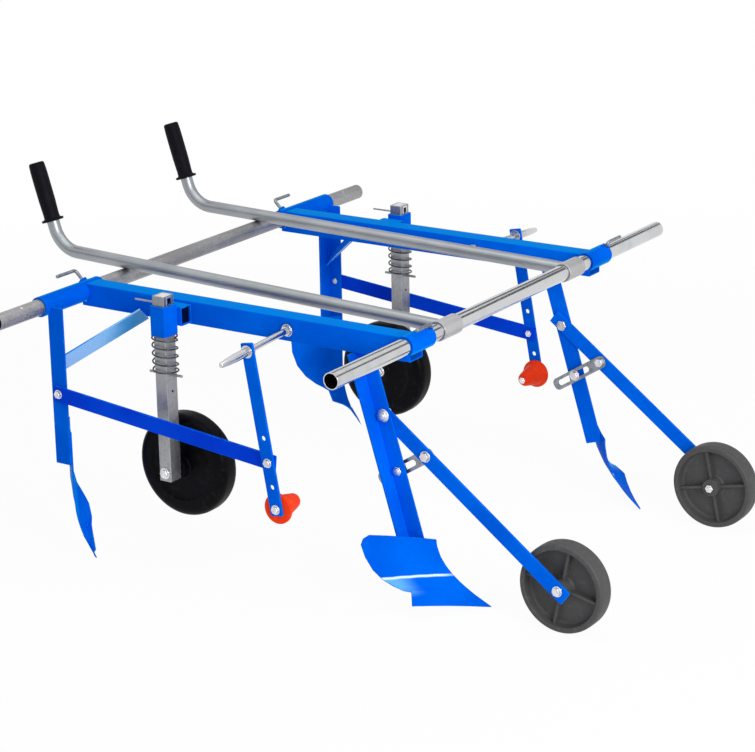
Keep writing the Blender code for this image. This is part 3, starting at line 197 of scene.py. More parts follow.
class Nodes:
    """A node tree, and the one way to add nodes to it."""

    def __init__(self, tree: bpy.types.NodeTree) -> None:
        """Keeps the tree."""
        self.tree = tree

    def add(
        self, kind: str, settings: dict[str, Any] | None = None, sockets: dict[Any, Any] | None = None
    ) -> bpy.types.Node:
        """Adds a node.

        Args:
            kind: the node's type.
            settings: its settings, set first.
            sockets: the values or links of its inputs.

        Returns:
            The node.
        """
        node = self.tree.nodes.new(kind)
        for name, value in (settings or {}).items():
            setattr(node, name, value)
        for name, value in (sockets or {}).items():
            self.feed(node.inputs[name], value)
        return node

    def feed(self, socket: bpy.types.NodeSocket, value: Any) -> None:
        """Links or sets a socket.

        Args:
            socket: the socket.
            value: a term or another socket to link it to, or else its value.
        """
        if isinstance(value, Term):
            value = value.socket
        if isinstance(value, bpy.types.NodeSocket):
            self.tree.links.new(value, socket)
        else:
            socket.default_value = value

    def seen(self) -> Term:
        """Marks what is seen by eye, in shiny surfaces or through glass.

        Returns:
            1 for such rays, else 0.
        """
        path = self.add("ShaderNodeLightPath")
        total = Term(self, path.outputs["Is Camera Ray"])
        for name in ("Is Glossy Ray", "Is Transmission Ray"):
            total = total.sum("MAXIMUM", total, Term(self, path.outputs[name]))
        return total


class Graph(Nodes):
    """A material's nodes, which end in its Principled shader."""

    def __init__(self, name: str) -> None:
        """Starts a material.

        Args:
            name: the material's name.
        """
        self.material = bpy.data.materials.new(name)
        self.material.use_nodes = True
        super().__init__(self.material.node_tree)
        self.shader = self.tree.nodes["Principled BSDF"]
        self.place = self.add("ShaderNodeTexCoord").outputs["Object"]

    def noise(self, scale: float, detail: float = 2.0, stretch: Triple = (1.0, 1.0, 1.0)) -> Term:
        """Makes a cloudy pattern.

        Args:
            scale: waves to a metre.
            detail: how many finer layers it has.
            stretch: how much tighter the pattern is along X, Y and Z.

        Returns:
            The pattern, from 0 to 1 and about 0.5.
        """
        spread = self.add("ShaderNodeMapping", {}, {"Vector": self.place, "Scale": stretch})
        sockets = {"Vector": spread.outputs[0], "Scale": scale, "Detail": detail}
        return Term(self, self.add("ShaderNodeTexNoise", {}, sockets).outputs[0])

    def cells(self, scale: float) -> Term:
        """Makes flat random cells, such as the spangle of galvanised steel.

        Args:
            scale: cells to a metre.

        Returns:
            The cells' shade, from 0 to 1.
        """
        sockets = {"Vector": self.place, "Scale": scale}
        node = self.add("ShaderNodeTexVoronoi", {"feature": "F1"}, sockets)
        split = self.add("ShaderNodeSeparateColor", {}, {0: node.outputs["Color"]})
        return Term(self, split.outputs[0])

    def worn_edge(self) -> Term:
        """Returns the piece's own mark of its rounded edges, 1 on an edge and 0 elsewhere."""
        node = self.add("ShaderNodeAttribute", {"attribute_name": "edge"})
        return Term(self, node.outputs["Fac"])

    def along(self, axis: str) -> Term:
        """Returns the place along X, Y or Z, in metres."""
        split = self.add("ShaderNodeSeparateXYZ", {}, {0: self.place})
        return Term(self, split.outputs[axis])

    def forward(self) -> Term:
        """Tells front faces from back ones.

        Returns:
            How far a face is turned to the front, 1 ahead and -1 behind.
        """
        normal = self.add("ShaderNodeNewGeometry").outputs["Normal"]
        split = self.add("ShaderNodeSeparateXYZ", {}, {0: normal})
        return Term(self, split.outputs["X"])

    def slant(self) -> Term:
        """Returns how edge-on a face is seen, 0 square to the view and 1 edge-on."""
        return Term(self, self.add("ShaderNodeLayerWeight").outputs["Facing"])

    def blend(self, share: Term, first: Any, second: Any) -> bpy.types.NodeSocket:
        """Mixes two colours.

        Args:
            share: how much of the second shows.
            first: the first colour or its socket.
            second: the second one.

        Returns:
            The mixed colour's socket.
        """
        colours = [(*value, 1.0) if isinstance(value, tuple) else value for value in (first, second)]
        sockets = {0: share, 6: colours[0], 7: colours[1]}
        return self.add("ShaderNodeMix", {"data_type": "RGBA"}, sockets).outputs[2]

    def rough(self, height: Term, strength: float, depth: float) -> None:
        """Gives the shader a bump.

        Args:
            height: the bump's height, from 0 to 1.
            strength: how much of it shows, from 0 to 1.
            depth: its depth in metres.
        """
        sockets = {"Height": height, "Strength": strength, "Distance": depth}
        bump = self.add("ShaderNodeBump", {}, sockets)
        self.feed(self.shader.inputs["Normal"], bump.outputs[0])

    def close(self, **sockets: Any) -> bpy.types.Material:
        """Feeds the shader.

        Args:
            **sockets: the values of its sockets, named with _ for a space.

        Returns:
            The material.
        """
        for name, value in sockets.items():
            self.feed(self.shader.inputs[name.replace("_", " ")], value)
        return self.material


@dataclass(frozen=True)
class Finish:
    """What every finish has."""

    slot: Slot
    name: str

    @lru_cache
    def material(self) -> bpy.types.Material:
        """Makes the finish's material once.

        Returns:
            The material.
        """
        graph = Graph(self.name)
        self.shade(graph)
        return graph.material

    def shade(self, graph: Graph) -> None:
        """Feeds the finish's shader."""
        raise NotImplementedError


@dataclass(frozen=True)
class Paint(Finish):
    """Glossy enamel sprayed on steel, a little thin along the edges, with a painted reflection where seen
    edge-on.
    """

    slot: Slot = Slot.PAINT
    name: str = "blue_enamel"
    colour: Colour = (0.0, 0.140, 0.84)
    deep: Colour = (0.0, 0.110, 0.74)
    edge: Colour = (0.01, 0.25, 0.94)
    # The colour of the painted reflection, blended in as a face turns edge-on across the slant below.
    painted_sheen: Colour = (0.0, 0.27, 0.86)
    painted_sheen_slant: Pair = (0.55, 0.80)
    roughness: float = 0.20
    shine: float = 0.0005
    coat: float = 0.0
    coat_roughness: float = 0.12
    index: float = 1.5

    def shade(self, graph: Graph) -> None:
        """Feeds the finish's shader.

        Args:
            graph: the material's nodes.
        """
        cloud = graph.noise(scale=9.0, detail=3.0)
        peel = graph.noise(scale=420.0, detail=1.0)
        speck = graph.noise(scale=1500.0, detail=1.0).between(0.70, 0.78)
        worn = graph.worn_edge() * graph.noise(scale=60.0, detail=3.0).between(0.42, 0.62)
        body = graph.blend(cloud.between(0.35, 0.65), self.deep, self.colour)
        # Dust specks over the colour that carries the painted reflection.
        dust_and_sheen = graph.blend(speck * 0.25, self.lit(graph, body), self.edge)
        graph.rough(peel + cloud * 0.3, strength=0.12, depth=0.0006)
        graph.close(
            Base_Color=graph.blend(worn * 0.7, dust_and_sheen, self.edge),
            Roughness=cloud * 0.10 + worn * 0.15 + self.roughness,
            IOR=self.index,
            Specular_IOR_Level=self.shine,
            Coat_Weight=self.coat,
            Coat_Roughness=self.coat_roughness,
        )

    def lit(self, graph: Graph, body: bpy.types.NodeSocket) -> bpy.types.NodeSocket:
        """Returns the colour with a painted reflection, lighter where a face is seen edge-on."""
        return graph.blend(graph.slant().between(*self.painted_sheen_slant), body, self.painted_sheen)


@dataclass(frozen=True)
class HighlightedPloughPaint(Paint):
    """The furrow plough's enamel, with a painted highlight along its bend and a painted reflection in the
    corner under it.
    """

    name: str = "plough_enamel_painted_highlight"
    # The painted highlight along the bend: its colour, height, rise outward, width and reach outward.
    line: Colour = (0.72, 0.90, 1.0)
    highlight_level: float = 0.0335
    highlight_rise: float = 0.090
    highlight_width: float = 0.0016
    highlight_outward: Pair = (0.300, 0.330)
    # The soft edges of the painted highlight and of the painted reflection in the corner, in line widths over
    # the line's level.
    highlight_top: Pair = (1.6, 0.6)
    highlight_bottom: Pair = (-2.0, -0.6)
    reflection_top: Pair = (0.0, -0.5)
    # The painted reflection in the corner under the line: its colour, reach outward and height; both show on
    # front faces only.
    corner: Colour = (0.12, 0.44, 0.96)
    reflection_outward: Pair = (0.362, 0.394)
    reflection_height: Pair = (0.038, 0.054)
    highlight_facing: Pair = (0.0, 0.2)

    def lit(self, graph: Graph, body: bpy.types.NodeSocket) -> bpy.types.NodeSocket:
        """Adds the painted highlight along the bend and the painted reflection in the corner to the colour of
        the plough's front face.

        Args:
            graph: the material's nodes.
            body: the colour's socket.

        Returns:
            The lightened colour's socket.
        """
        outward = abs(graph.along("Y"))
        height = graph.along("Z")
        bend = height - outward * self.highlight_rise
        above, below, under = (
            bend.between(*(self.highlight_level + self.highlight_width * share for share in edge))
            for edge in (self.highlight_top, self.highlight_bottom, self.reflection_top)
        )
        front = graph.forward().between(*self.highlight_facing)
        # The painted reflection under the line, then the painted highlight along it.
        reflection_patch = front * under * outward.between(*self.reflection_outward) * height.between(*self.reflection_height)
        pale = graph.blend(reflection_patch, body, self.corner)
        return graph.blend(front * above * below * outward.between(*self.highlight_outward), pale, self.line)


@dataclass(frozen=True)
class Plate(Finish):
    """Bright plating with fine marks from handling along Y."""

    slot: Slot = Slot.CHROME
    name: str = "bright_plating"
    colour: Colour = (0.62, 0.63, 0.64)
    dull: Colour = (0.50, 0.51, 0.52)
    roughness: float = 0.12
    grain: Triple = (1.0, 0.06, 1.0)

    def shade(self, graph: Graph) -> None:
        """Feeds the finish's shader.

        Args:
            graph: the material's nodes.
        """
        cloud = graph.noise(scale=14.0, detail=3.0)
        marks = graph.noise(scale=260.0, stretch=self.grain)
        haze = cloud.between(0.45, 0.75)
        graph.rough(marks, strength=0.02, depth=0.0004)
        graph.close(
            Base_Color=graph.blend(haze, self.colour, self.dull),
            Metallic=1.0,
            Roughness=haze * 0.06 + marks * 0.05 + self.roughness,
        )


@dataclass(frozen=True)
class Satin(Finish):
    """Drawn steel tube with a satin zinc skin and marks along its length."""

    slot: Slot = Slot.TUBE
    name: str = "satin_tube"
    colour: Colour = (0.46, 0.46, 0.48)
    dull: Colour = (0.34, 0.34, 0.36)
    roughness: float = 0.26
    grain: Triple = (0.05, 1.0, 1.0)
    spangle: float = 0.15

    def shade(self, graph: Graph) -> None:
        """Feeds the finish's shader.

        Args:
            graph: the material's nodes.
        """
        cloud = graph.noise(scale=11.0, detail=4.0)
        drawn = graph.noise(scale=300.0, stretch=self.grain)
        blotch = graph.cells(scale=240.0) * self.spangle
        light = (cloud * (0.75 - self.spangle) + drawn * 0.25 + blotch).between(0.35, 0.65)
        graph.rough(drawn + blotch * 2.0, strength=0.03 + self.spangle * 0.3, depth=0.0004)
        graph.close(
            Base_Color=graph.blend(light, self.dull, self.colour),
            Metallic=1.0,
            Roughness=cloud * 0.12 + blotch * 0.4 + self.roughness,
        )


@dataclass(frozen=True)
class Zinc(Finish):
    """Zinc-plated fasteners, plates and springs, slightly grey in the hollows."""

    slot: Slot = Slot.ZINC
    name: str = "zinc_plating"
    colour: Colour = (0.88, 0.88, 0.88)
    dull: Colour = (0.58, 0.58, 0.60)
    roughness: float = 0.20

    def shade(self, graph: Graph) -> None:
        """Feeds the finish's shader.

        Args:
            graph: the material's nodes.
        """
        cloud = graph.noise(scale=70.0, detail=3.0)
        grit = graph.noise(scale=900.0)
        bright = graph.worn_edge() * 0.5
        light = (cloud.between(0.35, 0.65) + bright) * 0.8
        graph.rough(grit, strength=0.07, depth=0.0003)
        graph.close(
            Base_Color=graph.blend(light, self.dull, self.colour),
            Metallic=1.0,
            Roughness=cloud * 0.14 + self.roughness,
        )


@dataclass(frozen=True)
class Moulded(Finish):
    """Moulded plastic or rubber with a fine texture and scuffs."""

    colour: Colour
    scuff: Colour
    roughness: float
    texture: float
    shine: float

    def shade(self, graph: Graph) -> None:
        """Feeds the finish's shader.

        Args:
            graph: the material's nodes.
        """
        cloud = graph.noise(scale=24.0, detail=4.0)
        grit = graph.noise(scale=700.0)
        marks = graph.noise(scale=85.0, detail=4.0).between(0.52, 0.72)
        scuffs = (marks + graph.worn_edge() * 0.6) * 0.6
        graph.rough(grit + cloud * 0.3, strength=self.texture, depth=0.0008)
        graph.close(
            Base_Color=graph.blend(scuffs, self.colour, self.scuff),
            Roughness=cloud * 0.16 + grit * 0.06 + self.roughness,
            Specular_IOR_Level=self.shine,
        )


PAINT = Paint()
# The brace's enamel: glossier, and lighter in colour as a painted reflection of the light above.
BRACE_PAINT_LIT = Paint(
    name="brace_enamel_painted_reflection", colour=(0.03, 0.46, 1.00), deep=(0.0, 0.36, 0.95), shine=1.0, coat=1.0, index=2.0,
)
# The ploughs' enamel with its painted highlight and painted reflection.
PLOUGH_PAINTED_HIGHLIGHT = HighlightedPloughPaint()
LINK_PAINT = Paint(name="deep_enamel", colour=(0.002, 0.068, 0.80), deep=(0.002, 0.048, 0.70))
# Near-black enamel for the block that stands in for the shade inside the spacer: painted shade.
PAINTED_SHADE = Paint(
    name="painted_shade_enamel", colour=(0.0, 0.006, 0.040), deep=(0.0, 0.004, 0.028), edge=(0.0, 0.010, 0.060),
    painted_sheen=(0.0, 0.006, 0.040),
)
CHROME = Plate()
HANDLE_STEEL = Satin(colour=(0.37, 0.39, 0.41), dull=(0.30, 0.32, 0.34), roughness=0.33, spangle=0.02)
SLEEVE_STEEL = Satin(
    name="sleeve_tube", colour=(0.54, 0.54, 0.55), dull=(0.44, 0.44, 0.45), roughness=0.36, spangle=0.03,
)
REAR_STEEL = Satin(
    name="galvanised_tube", colour=(0.40, 0.40, 0.41), dull=(0.29, 0.29, 0.30), roughness=0.38,
    grain=(1.0, 0.05, 1.0),
)
POST_STEEL = Satin(
    name="galvanised_post", colour=(0.38, 0.385, 0.40), dull=(0.27, 0.275, 0.29), roughness=0.40,
    grain=(1.0, 1.0, 0.05),
)
ZINC = Zinc()
PLATE_ZINC = Zinc(name="dull_zinc", colour=(0.34, 0.36, 0.39), dull=(0.20, 0.22, 0.25), roughness=0.30)
SPRING_WIRE = Zinc(name="spring_wire", colour=(0.12, 0.12, 0.125), dull=(0.05, 0.05, 0.054), roughness=0.28)
GRIP_RUBBER = Moulded(
    Slot.GRIP, "grip_rubber", colour=(0.004, 0.004, 0.007), scuff=(0.010, 0.010, 0.014),
    roughness=0.45, texture=0.25, shine=0.07,
)
PRESS_PLASTIC = Moulded(
    Slot.PRESS_WHEEL, "press_wheel_plastic", colour=(0.0015, 0.0015, 0.0025), scuff=(0.010, 0.010, 0.012),
    roughness=0.28, texture=0.10, shine=0.06,
)
GAUGE_PLASTIC = Moulded(
    Slot.GAUGE_WHEEL, "gauge_wheel_plastic", colour=(0.055, 0.055, 0.056), scuff=(0.085, 0.085, 0.087),
    roughness=0.50, texture=0.12, shine=0.42,
)
CONE_PLASTIC = Moulded(
    Slot.CONE, "cone_plastic", colour=(1.00, 0.052, 0.010), scuff=(1.00, 0.100, 0.030),
    roughness=0.30, texture=0.06, shine=0.04,
)


@dataclass(frozen=True)
class Span:
    """A round or many-sided stretch of a bolt along its axis."""

    low: float
    high: float
    radius: float
    sides: int = 32


def put(name: str, data: bpy.types.ID) -> bpy.types.Object:
    """Links a new object to the scene.

    Args:
        name: the object's name.
        data: its mesh, lamp or camera.

    Returns:
        The object.
    """
    thing = bpy.data.objects.new(name, data)
    bpy.context.scene.collection.objects.link(thing)
    return thing


def mesh_of(name: str, form: bmesh.types.BMesh, material: bpy.types.Material) -> bpy.types.Mesh:
    """Ends a form as a mesh.

    Args:
        name: the mesh's name.
        form: the form, which is freed.
        material: the mesh's one material.

    Returns:
        The mesh.
    """
    mesh = bpy.data.meshes.new(name)
    form.to_mesh(mesh)
    form.free()
    mesh.materials.append(material)
    return mesh


def corners_of(edges: Edges) -> list[bmesh.types.BMVert]:
    """Returns the corners of a ring of edges, each once."""
    return list({vert for edge in edges for vert in edge.verts})


class Blank:
    """A mesh in the making, which operators shape and which ends as a piece of the scene."""

    def __init__(self) -> None:
        """Starts an empty mesh with a mark for its rounded edges."""
        self.form = bmesh.new()
        self.form.faces.layers.float.new("edge")

    @classmethod
    def of_node(cls, node: str, flat: bool = True) -> "Blank":
        """Copies a CAD node's mesh and merges its loose triangles.

        Args:
            node: the node's name.
            flat: whether its flat faces are made whole again.

        Returns:
            The blank.
        """
        blank = cls()
        blank.form.from_mesh(frame["nodes"][node].data)
        bmesh.ops.remove_doubles(blank.form, verts=blank.form.verts, dist=NODE_MERGE)
        if flat:
            limit = math.radians(FLAT)
            bmesh.ops.dissolve_limit(
                blank.form, angle_limit=limit, verts=blank.form.verts, edges=blank.form.edges,
            )
        return blank

    def turn(self, profile: Sequence[Pair], steps: int) -> "Blank":
        """Spins a profile about local Z, closed on itself unless it starts on the axis.

        Args:
            profile: radius and height of each corner.
            steps: the chords of a full turn.

        Returns:
            The blank.
        """
        corners = [self.form.verts.new((radius, 0.0, height)) for radius, height in profile]
        edges = [self.form.edges.new(pair) for pair in zip(corners, corners[1:])]
        if profile[0][0] > 0.0:
            edges.append(self.form.edges.new((corners[-1], corners[0])))
        bmesh.ops.spin(
            self.form, geom=corners + edges, cent=(0.0, 0.0, 0.0), axis=UP, angle=FULL_TURN, steps=steps,
            use_merge=True,
        )
        bmesh.ops.remove_doubles(self.form, verts=self.form.verts, dist=SEAM_MERGE)
        bmesh.ops.recalc_face_normals(self.form, faces=self.form.faces)
        return self

    def prisms(self, spans: Sequence[Span]) -> "Blank":
        """Adds round and hexagonal stretches along local Z.

        Args:
            spans: the stretches.

        Returns:
            The blank.
        """
        flats_up = Matrix.Rotation(math.pi / HEX, 4, "Z")
        for span in spans:
            middle = Matrix.Translation((0.0, 0.0, (span.low + span.high) / 2.0))
            bmesh.ops.create_cone(
                self.form, cap_ends=True, segments=span.sides, radius1=span.radius, radius2=span.radius,
                depth=span.high - span.low, matrix=middle @ flats_up,
            )
        return self

    def box(self, low: Sequence[float], high: Sequence[float], turn: Matrix | None = None) -> "Blank":
        """Adds a box.

        Args:
            low: its lowest corner.
            high: its highest corner.
            turn: the matrix that moves it after that.

        Returns:
            The blank.
        """
        corner, size = Vector(low), Vector(high) - Vector(low)
        place = Matrix.Translation(corner + size / 2.0) @ Matrix.Diagonal((*size, 1.0))
        bmesh.ops.create_cube(self.form, size=1.0, matrix=(turn or Matrix.Identity(4)) @ place)
        return self

    def hoop(self, radius: float, place: Matrix, steps: int = 20) -> Edges:
        """Starts a rod or tube as an open ring of edges, and returns them."""
        made = bmesh.ops.create_circle(self.form, segments=steps, radius=radius, cap_ends=False, matrix=place)
        return list({edge for vert in made["verts"] for edge in vert.link_edges})

    def push(self, edges: Edges, way: Vector) -> Edges:
        """Draws a ring of edges straight on.

        Args:
            edges: the ring.
            way: how far it goes.

        Returns:
            The ring at the far end.
        """
        made = bmesh.ops.extrude_edge_only(self.form, edges=edges)["geom"]
        verts = [item for item in made if isinstance(item, bmesh.types.BMVert)]
        bmesh.ops.translate(self.form, verts=verts, vec=way)
        return [item for item in made if isinstance(item, bmesh.types.BMEdge) and item.is_boundary]

    def sweep(
        self, edges: Edges, centre: Vector, axis: Vector, angle: float, steps: int,
        climb: Vector | None = None,
    ) -> Edges:
        """Draws a ring of edges round a bend.

        Args:
            edges: the ring.
            centre: the bend's centre.
            axis: the axis that it turns about.
            angle: how far it turns, in radians.
            steps: the stretches of the bend.
            climb: how far each stretch moves along, for a coil.

        Returns:
            The ring at the far end.
        """
        made = bmesh.ops.spin(
            self.form, geom=corners_of(edges) + edges, cent=centre, axis=axis, angle=angle, steps=steps,
            dvec=climb or Vector(),
        )["geom_last"]
        return [item for item in made if isinstance(item, bmesh.types.BMEdge)]

    def cap(self) -> "Blank":
        """Closes every open ring and turns all faces outward.

        Returns:
            The blank.
        """
        bmesh.ops.holes_fill(self.form, edges=[edge for edge in self.form.edges if edge.is_boundary])
        bmesh.ops.recalc_face_normals(self.form, faces=self.form.faces)
        return self

    def soften(self, width: float, segments: int = 2, angle: float = SHARP) -> "Blank":
        """Rounds the edges that are sharper than an angle and marks them.

        Args:
            width: the rounding's width.
            segments: its stretches.
            angle: the least angle between two faces, in degrees.

        Returns:
            The blank.
        """
        limit = math.radians(angle)
        edges = [edge for edge in self.form.edges if edge.is_manifold and edge.calc_face_angle(0.0) > limit]
        made = bmesh.ops.bevel(
            self.form, geom=edges, offset=width, offset_type="OFFSET", segments=segments, profile=0.5,
            affect="EDGES", clamp_overlap=False, material=-1,
        )
        mark = self.form.faces.layers.float["edge"]
        for face in made["faces"]:
            face[mark] = 1.0
        return self

    def move(self, place: Matrix) -> "Blank":
        """Moves the whole mesh by a matrix, and returns the blank."""
        bmesh.ops.transform(self.form, matrix=place, verts=self.form.verts)
        return self

    def piece(self, name: str, body: str, finish: Finish, stands_for: Sequence[str] = ()) -> bpy.types.Object:
        """Sets the mesh in the scene.

        Args:
            name: the piece's name.
            body: the CAD body that it rides on.
            finish: its finish.
            stands_for: the CAD nodes that it replaces.

        Returns:
            The piece.
        """
        mesh = mesh_of(name, self.form, finish.material())
        mesh.shade_smooth()
        mesh.set_sharp_from_angle(angle=math.radians(SHARP))
        thing = put(name, mesh)
        level = thing.modifiers.new("even_shading", "WEIGHTED_NORMAL")
        level.keep_sharp = True
        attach(thing, body)
        if stands_for:
            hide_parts(*stands_for)
        LOG.info("%s on %s, %d faces", name, body, len(mesh.polygons))
        return thing


def middle_of(node: str) -> Vector:
    """Returns the middle of a CAD node's box."""
    low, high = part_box(node)
    return (low + high) / 2.0


def joint_place(name: str) -> Vector:
    """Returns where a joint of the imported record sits."""
    return Vector(next(joint["pos_m"] for joint in frame["joints"] if joint["name"] == name))


def dress(node: str, body: str, finish: Finish) -> None:
    """Replaces a flat-sided CAD node, on a body and with a finish, by a copy with rounded edges."""
    Blank.of_node(node).soften(EDGE).piece(f"dressed_{node}", body, finish, (node,))


@dataclass
class CrossFrame:
    """The two cross tubes, and the handles with their sleeves and grips."""

    tube_radius: float = 0.0155
    tube_wall: float = 0.0020
    tube_chamfer: float = 0.0005
    tube_steps: int = 72
    handle_radius: float = 0.0127
    handle_steps: int = 40
    sleeve_radius: float = 0.0190
    handle_offset: float = 0.230
    handle_run: float = 0.908
    bend_radius: float = 0.060
    bend_steps: int = 18
    lean: float = 17.5
    toe_in: float = 0.75
    grip_start: float = 0.058
    grip_length: float = 0.120
    grip_end: float = 0.005
    grip_steps: int = 48
    rivet_offset: float = 0.535
    rivet_radius: float = 0.0030
    rivet_depth: float = 0.0012
    rivet_edge: float = 0.0003
    rivet_steps: int = 20
    rivet_lean: float = 25.0

    def build(self) -> None:
        """Builds the tubes and both handles."""
        self.tube("front_cross_tube", CHROME)
        self.tube("rear_cross_tube", REAR_STEEL)
        for side in Side:
            dress(side.node("handle_sleeve"), "frame", SLEEVE_STEEL)
            self.handle(side)
            self.grip(side)
            self.rivet(side)

    def tube(self, node: str, finish: Finish) -> None:
        """Turns a cross tube with broken edges over its CAD node.

        Args:
            node: the node's name.
            finish: the tube's finish.
        """
        half = (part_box(node)[1].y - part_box(node)[0].y) / 2.0
        bore = self.tube_radius - self.tube_wall
        profile = ((bore, -half), (self.tube_radius, -half), (self.tube_radius, half), (bore, half))
        blank = Blank().turn(profile, self.tube_steps).soften(self.tube_chamfer)
        blank.move(Matrix.Translation(middle_of(node)) @ Matrix.Rotation(QUARTER_TURN, 4, "X"))
        blank.piece(f"round_{node}", "frame", finish, (node,))

    def line(self) -> tuple[Vector, Vector, Vector]:
        """Lays out a handle from the front tube over the rear tube and up.

        Returns:
            The direction of its long run, the direction of its grip and the corner between them.
        """
        front = middle_of("front_cross_tube")
        rear = middle_of("rear_cross_tube")
        rise = rear.z - front.z + self.tube_radius + self.handle_radius + PLAY
        run = Vector((rear.x - front.x, 0.0, rise)).normalized()
        lean = math.radians(self.lean)
        climb = Vector((-math.sin(lean), 0.0, math.cos(lean)))
        return run, climb, run * (self.handle_run / -run.x)

    def seat(self, side: Side) -> Matrix:
        """Finds the middle of a handle's sleeve, where its layout starts.

        Args:
            side: the handle's side.

        Returns:
            The matrix that moves a handle there.
        """
        front = middle_of("front_cross_tube")
        place = Matrix.Translation((front.x, side.sign * self.handle_offset, front.z))
        return place @ Matrix.Rotation(side.sign * math.radians(self.toe_in), 4, "Z")

    def handle(self, side: Side) -> None:
        """Draws a handle from its sleeve over the rear tube and up.

        Args:
            side: the handle's side.
        """
        run, climb, corner = self.line()
        bend = run.angle(climb)
        tangent = self.bend_radius * math.tan(bend / 2.0)
        bend_start = corner - run * tangent
        inside = (climb - run * run.dot(climb)).normalized()
        blank = Blank()
        turn = UP.rotation_difference(run).to_matrix().to_4x4()
        foot = Matrix.Translation(run * self.sleeve_radius) @ turn
        ring = blank.hoop(self.handle_radius, foot, self.handle_steps)
        # The foot is cut round to sit on the sleeve, and the far end is made square again.
        for vert in corners_of(ring):
            vert.co.x = -math.sqrt(max(self.sleeve_radius**2 - vert.co.z**2, 0.0))
        end = blank.push(ring, run * (corner.length - tangent - self.sleeve_radius))
        for vert in corners_of(end):
            vert.co -= run * (vert.co - bend_start).dot(run)
        centre = bend_start + inside * self.bend_radius
        end = blank.sweep(end, centre, run.cross(inside), bend, self.bend_steps)
        blank.push(end, climb * (self.grip_start + self.grip_length - self.grip_end - PLAY - tangent))
        blank.cap().move(self.seat(side))
        blank.piece(side.node("bent_handle"), "frame", HANDLE_STEEL, (side.node("handle"),))

    def grip(self, side: Side) -> None:
        """Turns a handle's grip.

        Args:
            side: the handle's side.
        """
        _, climb, corner = self.line()
        bore, top = self.handle_radius + PLAY, self.grip_length
        profile = (
            (0.0, top), (0.0120, top), (0.0146, top - 0.0012), (0.0157, top - 0.0040),
            (0.0165, top - 0.018), (0.0166, 0.072), (0.0165, 0.042), (0.0156, 0.014), (0.0158, 0.0075),
            (0.0175, 0.0052), (0.0210, 0.0048), (0.0220, 0.0036), (0.0220, 0.0014), (0.0212, 0.0),
            (bore, 0.0), (bore, top - self.grip_end), (0.0, top - self.grip_end),
        )
        tilt = Matrix.Rotation(-math.radians(self.lean), 4, "Y")
        foot = Matrix.Translation(corner + climb * self.grip_start) @ tilt
        blank = Blank().turn(profile, self.grip_steps).move(self.seat(side) @ foot)
        blank.piece(side.node("moulded_grip"), "frame", GRIP_RUBBER, (side.node("grip"),))

    def rivet(self, side: Side) -> None:
        """Sets the stop rivet in the rear tube, outside the sleeve that slides on it.

        Args:
            side: the rivet's side.
        """
        rear = middle_of("rear_cross_tube")
        tilt = Matrix.Rotation(math.radians(self.rivet_lean), 4, "Y")
        spot = Matrix.Translation((rear.x, side.sign * self.rivet_offset, rear.z)) @ tilt
        radius = self.tube_radius
        head = Span(radius - self.rivet_depth, radius + PLAY, self.rivet_radius, self.rivet_steps)
        blank = Blank().prisms((head,)).soften(self.rivet_edge)
        # The head is bent round the tube.
        for corner in blank.form.verts:
            corner.co.z -= radius - math.sqrt(radius**2 - corner.co.x**2)
        blank.move(spot).piece(side.node("stop_rivet"), "frame", ZINC)


@dataclass
class SideAssembly:
    """A sub-assembly that both sides of the machine have."""

    side: Side

    def build(self) -> None:
        """Builds the sub-assembly."""
        raise NotImplementedError

    def node(self, name: str) -> str:
        """Returns the name of a CAD node or a piece on this side."""
        return self.side.node(name)

    def body(self, name: str) -> str:
        """Returns the name of a CAD body or joint on this side."""
        return self.side.body(name)

    def joint(self, name: str) -> Vector:
        """Returns where a joint on this side sits."""
        return joint_place(self.body(name))

    def ends(self, node: str) -> list[float]:
        """Returns how far a CAD node's inner and outer ends lie from the middle plane."""
        low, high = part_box(node)
        return sorted((abs(low.y), abs(high.y)))

    def fix(
        self, name: str, body: str, spans: Sequence[Span], place: Matrix, edge: float = EDGE,
        stands_for: Sequence[str] = (),
    ) -> None:
        """Adds a plated bolt with its washers, head and nut.

        Args:
            name: the piece's name.
            body: the body that it rides on, without its side.
            spans: its stretches along its axis.
            place: the matrix that moves it to its place.
            edge: the width of its rounded edges.
            stands_for: the CAD nodes that it replaces.
        """
        blank = Blank().prisms(spans).soften(edge).move(place)
        blank.piece(name, self.body(body), ZINC, stands_for)


